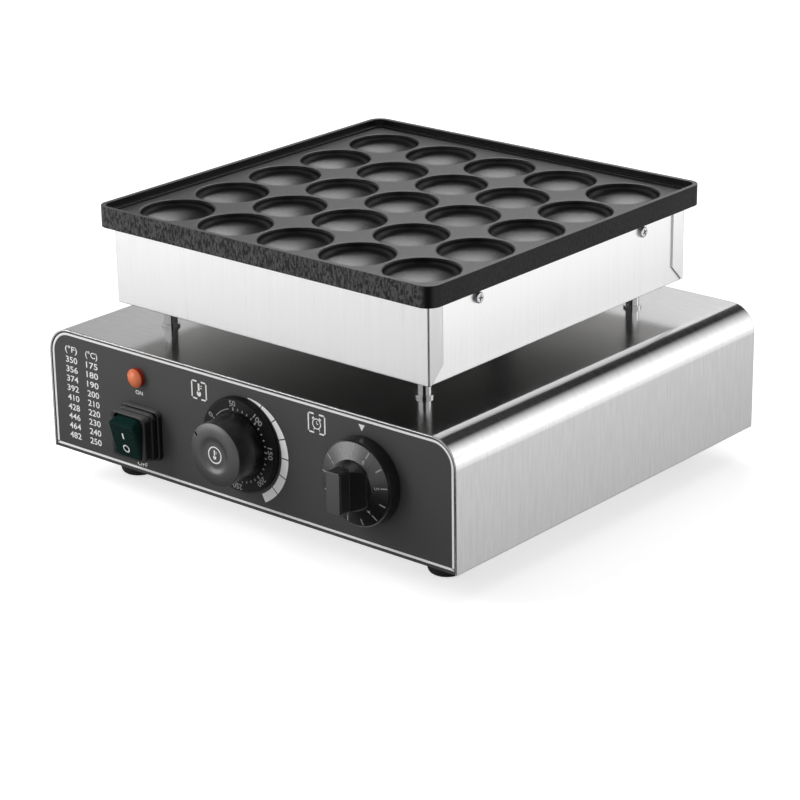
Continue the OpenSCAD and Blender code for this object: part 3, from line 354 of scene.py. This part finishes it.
plateLow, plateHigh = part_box("baking_plate")
plateHalf = (plateHigh.x - plateLow.x) / 2
# the rim's sides colour is painted shade, much darker than its ends colour
plateRimGrainAndShade = {"stretch": (800, 800, 330), "low": -1.0, "high": 2.0, "ends": grey(0.075), "sides": grey(0.014),
            "dull": 0.35, "middle": (plateLow + plateHigh) / 2,
            "reach": (plateHalf - 0.0015, plateHalf - 0.0008)}
skins = {
    "castPlate": {"colour": grey(0.003), "worn": grey(0.01), "scale": 900, "rough": (0.31, 0.45),
                  "bump": 0.30, "edgeRadius": 0.0004, "rim": plateRimGrainAndShade},
    "panelPaint": {"colour": grey(0.058), "worn": grey(0.068), "scale": 1500, "rough": (0.42, 0.55),
                   "bump": 0.08, "edgeRadius": 0.0003, "gloss": 0.35},
    "dialPlastic": {"colour": grey(0.006), "worn": grey(0.02), "scale": 1800, "rough": (0.38, 0.52),
                    "bump": 0.10, "edgeRadius": 0.0005, "gloss": 0.25},
    "knobPlastic": {"colour": grey(0.003), "worn": grey(0.02), "scale": 1800, "rough": (0.26, 0.38),
                    "bump": 0.10, "edgeRadius": 0.0006, "gloss": 1.0, "coat": 0.6},
    "switchPlastic": {"colour": grey(0.008), "worn": grey(0.02), "scale": 1800, "rough": (0.4, 0.55),
                      "bump": 0.10, "edgeRadius": 0.0003, "gloss": 0.3},
    # the boot's top colour is painted light on the faces that look up
    "bootRubber": {"colour": grey(0.004), "worn": grey(0.014), "scale": 1200, "rough": (0.36, 0.5),
                   "bump": 0.15, "edgeRadius": 0.0008, "gloss": 0.6, "top": grey(0.09)},
    "footRubber": {"colour": grey(0.010), "worn": grey(0.022), "scale": 1000, "rough": (0.6, 0.8),
                   "bump": 0.25, "edgeRadius": 0.0006},
    "rockerGreen": {"colour": (0.005, 0.021, 0.018), "worn": (0.02, 0.05, 0.042), "scale": 1800,
                    "rough": (0.22, 0.32), "bump": 0.05, "edgeRadius": 0.0008, "gloss": 0.06},
    "glandNylon": {"colour": grey(0.014), "worn": grey(0.03), "scale": 1500, "rough": (0.42, 0.56),
                   "bump": 0.10, "edgeRadius": 0.0005},
    "whiteCeramic": {"colour": (0.78, 0.76, 0.70), "worn": (0.85, 0.84, 0.80), "scale": 600,
                     "rough": (0.35, 0.5), "bump": 0.12, "edgeRadius": 0.0005},
    "woolPad": {"colour": (0.62, 0.57, 0.43), "worn": (0.68, 0.64, 0.52), "scale": 250,
                "rough": (0.85, 0.98), "bump": 0.8, "edgeRadius": 0.001},
    "wireSleeve": {"colour": (0.60, 0.56, 0.48), "worn": (0.66, 0.62, 0.55), "scale": 900,
                   "rough": (0.6, 0.8), "bump": 0.4, "edgeRadius": 0.0003},
    "printWhite": {"colour": (0.90, 0.90, 0.89), "worn": (0.92, 0.92, 0.91), "scale": 2500,
                   "rough": (0.5, 0.65), "bump": 0.02, "edgeRadius": 0.0001},
    "printGrey": {"colour": (0.34, 0.34, 0.33), "worn": (0.36, 0.36, 0.35), "scale": 2500,
                  "rough": (0.5, 0.65), "bump": 0.02, "edgeRadius": 0.0001},
}
# the lens's side colour is painted shade on its side wall
lampLens = {"face": ((0.73, 0.11, 0.036), (0.87, 0.29, 0.11)), "side": (0.34, 0.03, 0.012), "scale": 220,
            "rough": (0.16, 0.3), "bump": 0.15, "soft": 0.25, "softReach": (0.003, 0.001, 0.0005)}

finishes = {name: brushedMetal(name, **values) for name, values in metals.items()}
finishes.update({name: mouldedSkin(name, **values) for name, values in skins.items()})
finishes["lampPlastic"] = lampPlastic("lampPlastic", **lampLens)

finishOfSlot = {
    "plate_iron": "castPlate", "box_steel": "boxSheet", "base_steel": "baseSheet", "panel_paint": "panelPaint",
    "post_steel": "postChrome", "zinc": "zincPlate", "inner_steel": "dullSteel", "insulation": "woolPad",
    "copper": "copperTube", "wire_sleeve": "wireSleeve", "ceramic": "whiteCeramic", "dial_black": "dialPlastic",
    "knob_black": "knobPlastic", "switch_black": "switchPlastic", "boot_rubber": "bootRubber",
    "foot_rubber": "footRubber", "rocker_green": "rockerGreen", "lamp_orange": "lampPlastic",
    "gland_nylon": "glandNylon",
}
for part in frame["record"]["subparts"]:
    for slot in nodes[part["node"]].material_slots:
        slot.material = finishes[finishOfSlot[part["material_slot"]]]
for name, flapShade in boxFlapShade.items():
    nodes[name].material_slots[0].material = brushedMetal(name + "Sheet", **metals["boxSheet"], flapShade=flapShade)
print("finishes on", len(nodes), "nodes")


# printed marks are drawn flat in millimetres, x right and y up, then stood on the face that carries them

textStyle = {"radius": 4, "resolution": 4, "bolder": 0.05}


def fitMark(mark, x, y, tall, wide, tilt):
    low = Vector((min(v.co.x for v in mark.data.vertices), min(v.co.y for v in mark.data.vertices), 0))
    high = Vector((max(v.co.x for v in mark.data.vertices), max(v.co.y for v in mark.data.vertices), 0))
    sizeY = tall / (high.y - low.y)
    sizeX = wide / (high.x - low.x) if wide else sizeY
    middle = (low + high) / 2
    mark.scale = (sizeX, sizeY, 1)
    mark.location = (-middle.x * sizeX, -middle.y * sizeY, 0)
    applyPlace(mark)
    mark.rotation_euler = (0, 0, -math.radians(tilt))
    mark.location = (x, y, 0)
    applyPlace(mark)
    return mark


def drawText(words, x, y, tall, wide=None, tilt=0):
    deselectAll()
    bpy.ops.object.text_add(radius=textStyle["radius"])
    mark = bpy.context.object
    mark.data.body = words
    mark.data.resolution_u = textStyle["resolution"]
    mark.data.offset = textStyle["bolder"]
    takeOnly(mark)
    bpy.ops.object.convert(target="MESH")
    return fitMark(bpy.context.object, x, y, tall, wide, tilt)


def drawBar(x, y, wide, tall, tilt=0):
    deselectAll()
    bpy.ops.mesh.primitive_plane_add(size=1)
    return fitMark(bpy.context.object, x, y, tall, wide, tilt)


def drawDisc(x, y, radius, sides, tilt=0):
    deselectAll()
    bpy.ops.mesh.primitive_circle_add(vertices=sides, radius=radius, fill_type="NGON")
    mark = bpy.context.object
    mark.rotation_euler = (0, 0, math.radians(tilt))
    mark.location = (x, y, 0)
    applyPlace(mark)
    return mark


def drawArc(x, y, inner, outer, start, end, outerEnd=None, steps=12):
    deselectAll()
    bpy.ops.mesh.primitive_grid_add(x_subdivisions=steps, y_subdivisions=1, size=1)
    mark = bpy.context.object
    outerEnd = outerEnd or outer
    for v in mark.data.vertices:  # wrap the strip round its centre
        along = v.co.x + 0.5
        angle = math.radians(start + (end - start) * along)
        radius = inner + (outer + (outerEnd - outer) * along - inner) * (v.co.y + 0.5)
        v.co = (x + radius * math.cos(angle), y + radius * math.sin(angle), 0)
    if end > start:  # keep the face towards the viewer
        takeOnly(mark)
        bpy.ops.object.mode_set(mode="EDIT")
        bpy.ops.mesh.select_all(action="SELECT")
        bpy.ops.mesh.flip_normals()
        bpy.ops.object.mode_set(mode="OBJECT")
    return mark


def drawRing(x, y, inner, outer, steps):
    return drawArc(x, y, inner, outer, 0, 360, steps=steps)


def onCircle(radius, angle):  # degrees clockwise from the top
    return radius * math.sin(math.radians(angle)), radius * math.cos(math.radians(angle))


def drawTick(ticks, angle, wide, share=1.0):
    start, end = ticks
    return drawBar(*onCircle((start + end) / 2, angle), wide, (end - start) * share, angle)


def standMarks(name, marks, centre, material, body):
    piece = joinAs(name, marks)
    piece.scale = (mm, mm, mm)
    piece.rotation_euler = (math.pi / 2, 0, 0)
    piece.location = centre
    applyPlace(piece)
    dressIn(piece, finishes[material])
    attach(piece, body)


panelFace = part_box("front_panel")[0].y
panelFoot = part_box("base_wrap")[0].z
printLift = 0.00006

# panel: frame line, heat table, lamp and switch words, pointer and heat scale
panelMarks = {
    "half": 160.2, "top": 77.2, "bottom": 2.8, "line": 1.5, "corner": 14.0,
    "columns": ((-144.2, "(°F)", ("350", "356", "374", "392", "410", "428", "446", "464", "482")),
                (-126.2, "(°C)", ("175", "180", "190", "200", "210", "220", "230", "240", "250"))),
    "headRow": 67.2, "headSize": (5.4, 10.6), "firstRow": 60.75, "rowStep": 6.25, "digitSize": (4.1, 10.2),
    "words": (("ON", -85.4, 52.6, 2.6, 6.2), ("OFF", -85.4, 5.9, 2.8, 8.6)),
    "pointer": (94.0, 73.0, 2.7), "pointerSides": 3, "pointerTilt": 180,
    "arcCentre": (0.3, 39.2), "arcInner": 31.0, "arcFrom": 81.0, "arcTo": -63.0, "arcGap": 0.6,
    "arcWidths": (0.5, 2.2, 3.8, 5.0, 5.4, 5.4, 5.4, 5.4),
}


def drawPanel(p):
    half, line, corner = p["half"], p["line"], p["corner"]
    marks = [drawBar(0, p["bottom"], 2 * half + line, line),
             drawBar(0, p["top"], 2 * (half - corner), line)]
    for side, start in ((-1, 90), (1, 0)):
        upright = p["top"] - corner - p["bottom"]
        marks.append(drawBar(side * half, p["bottom"] + upright / 2, line, upright))
        marks.append(drawArc(side * (half - corner), p["top"] - corner, corner - line / 2, corner + line / 2,
                             start, start + 90))
    for x, head, numbers in p["columns"]:
        marks.append(drawText(head, x, p["headRow"], *p["headSize"]))
        for row, number in enumerate(numbers):
            marks.append(drawText(number, x, p["firstRow"] - row * p["rowStep"], *p["digitSize"]))
    for word in p["words"]:
        marks.append(drawText(*word))
    marks.append(drawDisc(*p["pointer"], p["pointerSides"], p["pointerTilt"]))
    # heat scale, a ring band that widens as it goes round
    edges = [p["arcInner"] + width for width in p["arcWidths"]]
    parts = len(edges) - 1
    step = (p["arcTo"] - p["arcFrom"]) / parts
    for i in range(parts):
        start = p["arcFrom"] + i * step
        marks.append(drawArc(*p["arcCentre"], p["arcInner"], edges[i], start - p["arcGap"],
                             start + step + p["arcGap"], edges[i + 1]))
    return marks


# pictures on the panel, each in shares of its own size
thermometer = {"stem": (0.17, 0.62), "stemUp": 0.14, "bulb": 0.2, "bulbDown": 0.26, "bulbSides": 20,
               "tick": (0.14, 0.06), "tickOut": 0.22, "tickUp": (0.3, 0.14)}
clock = {"rim": 0.8, "rimSteps": 32, "hand": 0.16, "minute": 0.5, "hour": 0.4,
         "bell": (0.55, 0.3), "bellPlace": (0.78, 0.95), "bellTilt": 40,
         "leg": (0.16, 0.36), "legPlace": (0.6, -1.02), "legTilt": -35}
pictures = {"heatFrame": (-34.2, 65.75, 12.7, 12.0, 1.0, 4.6), "heat": (-34.4, 66.0, 9.0),
            "timeFrame": (59.6, 66.8, 13.6, 12.5, 1.0, 4.8), "time": (59.6, 66.6, 3.4)}


def drawBrackets(x, y, wide, tall, line, reach):
    marks = []
    for side in (-1, 1):
        marks.append(drawBar(x + side * (wide - line) / 2, y, line, tall))
        for level in (-1, 1):
            marks.append(drawBar(x + side * (wide - reach) / 2, y + level * (tall - line) / 2, reach, line))
    return marks


def drawThermometer(x, y, tall):
    t = thermometer
    marks = [drawBar(x, y + tall * t["stemUp"], *(tall * share for share in t["stem"])),
             drawDisc(x, y - tall * t["bulbDown"], tall * t["bulb"], t["bulbSides"])]
    for up in t["tickUp"]:
        marks.append(drawBar(x + tall * t["tickOut"], y + tall * up, *(tall * share for share in t["tick"])))
    return marks


def drawClock(x, y, radius):
    c = clock
    hand, minute, hour = radius * c["hand"], radius * c["minute"], radius * c["hour"]
    marks = [drawRing(x, y, radius * c["rim"], radius, c["rimSteps"]),
             drawBar(x, y + minute / 2, hand, minute), drawBar(x + hour / 2, y, hour, hand)]
    for side in (-1, 1):
        for kind in ("bell", "leg"):
            out, up = c[kind + "Place"]
            wide, tall = c[kind]
            marks.append(drawBar(x + side * radius * out, y + radius * up, radius * wide, radius * tall,
                                 side * c[kind + "Tilt"]))
    return marks


marks = drawPanel(panelMarks)
marks += drawBrackets(*pictures["heatFrame"]) + drawThermometer(*pictures["heat"])
marks += drawBrackets(*pictures["timeFrame"]) + drawClock(*pictures["time"])
standMarks("panelPrint", marks, (0, panelFace - printLift, panelFoot), "printWhite", "cooker")
print("panel printed")

# temperature dial: numbers and ticks on the fixed ring, with a plain line from 0 to 50
dialMarks = {"height": 40.0, "first": -55.0, "step": 47.6, "numbers": ("0", "50", "100", "150", "200", "250"),
             "numberRadius": 26.0, "tall": 3.6, "digitWide": 2.5, "ticks": (21.6, 23.6), "tickWide": 0.8,
             "between": 4, "mainWide": 1.3, "smallShare": 0.72, "line": (22.4, 22.9), "lineGaps": (7, 9)}


def drawDial(d):
    marks = []
    last = len(d["numbers"]) - 1
    for i, number in enumerate(d["numbers"]):
        angle = d["first"] + i * d["step"]
        marks.append(drawText(number, *onCircle(d["numberRadius"], angle), d["tall"],
                              d["digitWide"] * len(number), angle))
        marks.append(drawTick(d["ticks"], angle, d["tickWide"] * d["mainWide"]))
        if 0 < i < last:
            for k in range(1, d["between"] + 1):
                tick = angle + k * d["step"] / (d["between"] + 1)
                marks.append(drawTick(d["ticks"], tick, d["tickWide"], d["smallShare"]))
    start = 90 - d["first"] - d["lineGaps"][0]
    end = 90 - d["first"] - d["step"] + d["lineGaps"][1]
    marks.append(drawArc(0, 0, *d["line"], start, end))
    return marks


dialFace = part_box("temperature_dial")[0].y
dialHeight = panelFoot + dialMarks["height"] * mm
standMarks("dialPrint", drawDial(dialMarks), (0, dialFace - printLift, dialHeight),
           "printGrey", "cooker")

# temperature knob: a ring with a small thermometer, in the hollow of its cap
capMarks = {"ring": (4.6, 5.4), "ringSteps": 40, "picture": (-0.2, 0.2, 6.4), "sunk": 0.94}
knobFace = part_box("temperature_knob")[0].y
marks = [drawRing(0, 0, *capMarks["ring"], capMarks["ringSteps"])] + drawThermometer(*capMarks["picture"])
standMarks("capPrint", marks, (0, knobFace + capMarks["sunk"] * mm, dialHeight),
           "printWhite", "temperature_knob")

# timer knob: ticks and numbers on the skirt, which rises towards the hub
timerMarks = {"centre": (96.0, 41.5), "parts": 13, "ticks": (20.4, 24.4), "tickWide": 0.8,
              "numberRadius": 18.0, "tall": 3.0}
skirtCone = {"edgeRadius": 25.2, "edgeReach": 9.0, "topRadius": 14.5, "topReach": 11.8, "lift": 0.09}


def drawTimer(t):
    marks = []
    for i in range(t["parts"]):
        angle = -i * 360 / t["parts"]
        marks.append(drawTick(t["ticks"], angle, t["tickWide"]))
        if i % 2 == 0:
            marks.append(drawText(str(i // 2), *onCircle(t["numberRadius"], angle), t["tall"], tilt=angle))
    return marks


def leanOnCone(marks, c):
    for mark in marks:
        for v in mark.data.vertices:
            along = (c["edgeRadius"] - math.hypot(v.co.x, v.co.y)) / (c["edgeRadius"] - c["topRadius"])
            v.co.z = c["edgeReach"] + along * (c["topReach"] - c["edgeReach"]) + c["lift"]
    return marks


timerX, timerHeight = (distance * mm for distance in timerMarks["centre"])
standMarks("timerPrint", leanOnCone(drawTimer(timerMarks), skirtCone),
           (timerX, panelFace, panelFoot + timerHeight), "printGrey", "timer_knob")
print("dials printed")

# rocker: bar and ring, laid on its tilted face
rockerMarks = {"pivot": (-83.0, 28.5), "reach": 10.5, "face": 6.5, "lift": 0.06, "tilt": 15.0,
               "bar": (0, 3.6, 1.2, 4.2), "ring": (0, -5.6, 1.9, 2.7), "ringSteps": 28}


def layRockerMarks(r):
    piece = joinAs("rockerPrint", [drawBar(*r["bar"]), drawRing(*r["ring"], r["ringSteps"])])
    piece.location = (0, 0, r["face"] + r["lift"])
    applyPlace(piece)
    piece.rotation_euler = (math.radians(90 + r["tilt"]), 0, 0)
    piece.scale = (mm, mm, mm)
    piece.location = (r["pivot"][0] * mm, panelFace - r["reach"] * mm, panelFoot + r["pivot"][1] * mm)
    applyPlace(piece)
    dressIn(piece, finishes["printWhite"])
    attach(piece, "rocker")


layRockerMarks(rockerMarks)
print("rocker printed")

# side screws: rounded heads with a cross recess
screw = {"radius": 3.5, "height": 2.4, "sides": 32, "round": 1.1, "roundSteps": 4, "smooth": 35,
         "slotWide": 0.9, "slotLong": 3.8, "slotDeep": 1.3, "firstTurn": 18, "turnStep": 31}


def modelScrew(s):
    deselectAll()
    bpy.ops.mesh.primitive_cylinder_add(vertices=s["sides"], radius=s["radius"], depth=s["height"],
                                        location=(0, 0, s["height"] / 2))
    head = bpy.context.object
    applyPlace(head)
    bpy.ops.object.mode_set(mode="EDIT")
    bpy.ops.mesh.select_all(action="DESELECT")
    bpy.ops.object.mode_set(mode="OBJECT")
    for edge in head.data.edges:  # the edge round the top
        edge.select = min(head.data.vertices[i].co.z for i in edge.vertices) > s["height"] / 2
    bpy.ops.object.mode_set(mode="EDIT")
    bpy.ops.mesh.select_mode(type="EDGE")
    bpy.ops.mesh.bevel(offset=s["round"], segments=s["roundSteps"], affect="EDGES")
    bpy.ops.object.mode_set(mode="OBJECT")
    for angle in (0, 90):
        deselectAll()
        bpy.ops.mesh.primitive_cube_add(size=1, location=(0, 0, s["height"]))
        cutter = bpy.context.object
        cutter.scale = (s["slotLong"], s["slotWide"], 2 * s["slotDeep"])
        cutter.rotation_euler = (0, 0, math.radians(angle))
        applyPlace(cutter)
        takeOnly(head)
        cut = head.modifiers.new("cross", "BOOLEAN")
        cut.operation = "DIFFERENCE"
        cut.object = cutter
        bpy.ops.object.modifier_apply(modifier=cut.name)
        bpy.data.objects.remove(cutter)
    takeOnly(head)
    bpy.ops.object.shade_smooth_by_angle(angle=math.radians(s["smooth"]))
    return head


def copyOf(thing):
    takeOnly(thing)
    bpy.ops.object.duplicate()
    return bpy.context.object


low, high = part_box("box_screws")
sheetX = high.x - screw["height"] * mm
rows = (low.y + screw["radius"] * mm, high.y - screw["radius"] * mm)
pattern = modelScrew(screw)
spots = [(side, y) for side in (-1, 1) for y in rows]
heads = []
for i, (side, y) in enumerate(spots):
    head = copyOf(pattern)
    head.rotation_euler = (0, 0, math.radians(screw["firstTurn"] + screw["turnStep"] * i))
    applyPlace(head)
    head.scale = (mm, mm, mm)
    head.rotation_euler = (0, side * math.pi / 2, 0)
    head.location = (side * sheetX, y, (low.z + high.z) / 2)
    applyPlace(head)
    heads.append(head)
bpy.data.objects.remove(pattern)
sideScrews = joinAs("sideScrews", heads)
dressIn(sideScrews, finishes["zincPlate"])
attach(sideScrews, "cooker")
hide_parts("box_screws")
print("screws placed")

# studio: lamps that light the object, and cards that are only there for reflections
lampAim = Vector((0, 0, 0.1))
lamps = {
    "keyLamp": {"place": (-1.3, -1.05, 1.15), "size": 1.2, "watts": 25, "mirrored": False},
    "topLamp": {"place": (0.15, 0.1, 1.8), "size": 1.5, "watts": 7, "mirrored": False},
    "backLamp": {"place": (-0.67, 1.0, 1.37), "size": 0.75, "watts": 11, "mirrored": True},
}


def softLamp(name, place, size, watts, mirrored):
    bpy.ops.object.light_add(type="AREA", location=place)
    lamp = bpy.context.object
    lamp.name = name
    lamp.data.shape = "SQUARE"
    lamp.data.size = size
    lamp.data.energy = watts
    lamp.rotation_euler = (Vector(place) - lampAim).to_track_quat("Z", "Y").to_euler()
    lamp.visible_glossy = mirrored


for name, values in lamps.items():
    softLamp(name, **values)


def seenLevel(tree, seen, mirrored):  # how bright a backdrop is for the camera, and in mirrors and glass
    rays = addNode(tree, "LightPath").outputs
    through = joinValues(tree, "MAXIMUM", rays["Is Glossy Ray"], rays["Is Transmission Ray"])
    return joinValues(tree, "MAXIMUM", joinValues(tree, "MULTIPLY", rays["Is Camera Ray"], seen),
                      joinValues(tree, "MULTIPLY", through, mirrored))


def startBackdrop(name, colour):
    mat, tree, shader, where = startMaterial(name)
    shader.inputs["Base Color"].default_value = (*colour, 1)
    shader.inputs["Specular IOR Level"].default_value = 0.0
    shader.inputs["Emission Color"].default_value = (1, 1, 1, 1)
    return mat, tree, shader, where


floorLook = {"size": 12, "colour": grey(0.58), "rough": 0.9, "seenGlow": 0.68, "mirrorGlow": 0.06}
deselectAll()
bpy.ops.mesh.primitive_plane_add(size=floorLook["size"])
floor = bpy.context.object
floor.name = "floor"
mat, tree, shader = startBackdrop("paleFloor", floorLook["colour"])[:3]
shader.inputs["Roughness"].default_value = floorLook["rough"]
tree.links.new(seenLevel(tree, floorLook["seenGlow"], floorLook["mirrorGlow"]), shader.inputs["Emission Strength"])
floor.data.materials.append(mat)

# glow goes from one value to the other along the card's own y
# lowCard, sweepCard and sideSweep lie on the floor and hold painted shade: in reflections they darken the floor
# close to the machine, as its shadow would
cards = {
    "darkCard": {"place": (0.277, -0.316, 0.15), "size": (0.24, 0.3), "angles": (90, 0, 41), "glow": (0, 0)},
    "lowCard": {"place": (0.22, -0.28, 0.002), "size": (0.34, 0.22), "angles": (0, 0, 0), "glow": (0, 0)},
    "sweepCard": {"place": (-0.185, -0.245, 0.001), "size": (0.47, 0.18), "angles": (0, 0, 0),
                  "glow": (0.85, 0.05)},
    "stripCard": {"place": (-0.78, -0.95, 0.15), "size": (0.6, 0.3), "angles": (90, 0, -39),
                  "glow": (3.6, 3.6)},
    "bendCard": {"place": (0.845, 1.15, 0.915), "size": (0.9, 1.2), "angles": (127.2, -36, -59.1),
                 "glow": (1.7, 0)},
    "overCard": {"place": (-0.25, 0.3, 1.65), "size": (0.9, 1.4), "angles": (0, 0, 40.5), "glow": (0, 2.5)},
    "paleCard": {"place": (0.34, 0.28, 0.07), "size": (0.66, 0.14), "angles": (90, 0, 90),
                 "glow": (0.8, 1.75)},
    "farCard": {"place": (-0.429, 0.58, 0.36), "size": (0.5, 0.8), "angles": (0, 90, -49.5),
                "glow": (0.42, 0.85)},
    "sideSweep": {"place": (0.255, 0.2, 0.001), "size": (1.0, 0.17), "angles": (0, 0, -90),
                  "glow": (0.52, 0.75)},
}
cardColour = grey(0.01)


def standCard(name, place, size, angles, glow):
    deselectAll()
    bpy.ops.mesh.primitive_plane_add(size=1)
    card = bpy.context.object
    card.name = name
    card.scale = (*size, 1)
    card.rotation_euler = [math.radians(angle) for angle in angles]
    card.location = place
    for kind in ("camera", "diffuse", "transmission", "shadow"):
        setattr(card, "visible_" + kind, False)
    mat, tree, shader, where = startBackdrop(name, cardColour)
    split = addNode(tree, "SeparateXYZ")
    blend = addNode(tree, "MapRange", {"From Min": -0.5, "From Max": 0.5, "To Min": glow[0], "To Max": glow[1]})
    tree.links.new(where, split.inputs["Vector"])
    tree.links.new(split.outputs["Y"], blend.inputs["Value"])
    tree.links.new(blend.outputs["Result"], shader.inputs["Emission Strength"])
    card.data.materials.append(mat)


for name, values in cards.items():
    standCard(name, **values)

# room: white for the camera, for reflections a grey that falls with height, for soft light one level
room = {"seen": 1.0, "light": 0.38,
        "fall": ((0.0, 0.82), (0.2, 0.88), (0.35, 0.46), (0.5, 0.13), (0.62, 0.02), (1.0, 0.15))}
world = bpy.data.worlds.new("studioRoom")
bpy.context.scene.world = world
world.use_nodes = True
sky = world.node_tree
backing = sky.nodes["Background"]
backing.inputs["Color"].default_value = (1, 1, 1, 1)
height = addNode(sky, "SeparateXYZ")
fall = addNode(sky, "ValToRGB")
stops = fall.color_ramp.elements
while len(stops) < len(room["fall"]):
    stops.new(0.5)
for stop, (level, shade) in zip(stops, room["fall"]):
    stop.position = level
    stop.color = (*grey(shade), 1)
sky.links.new(addNode(sky, "TexCoord").outputs["Generated"], height.inputs["Vector"])
sky.links.new(height.outputs["Z"], fall.inputs["Fac"])
lit = joinValues(sky, "MULTIPLY", addNode(sky, "LightPath").outputs["Is Diffuse Ray"], room["light"])
glow = joinValues(sky, "MAXIMUM", seenLevel(sky, room["seen"], fall.outputs["Color"]), lit)
sky.links.new(glow, backing.inputs["Strength"])
print("studio lit")
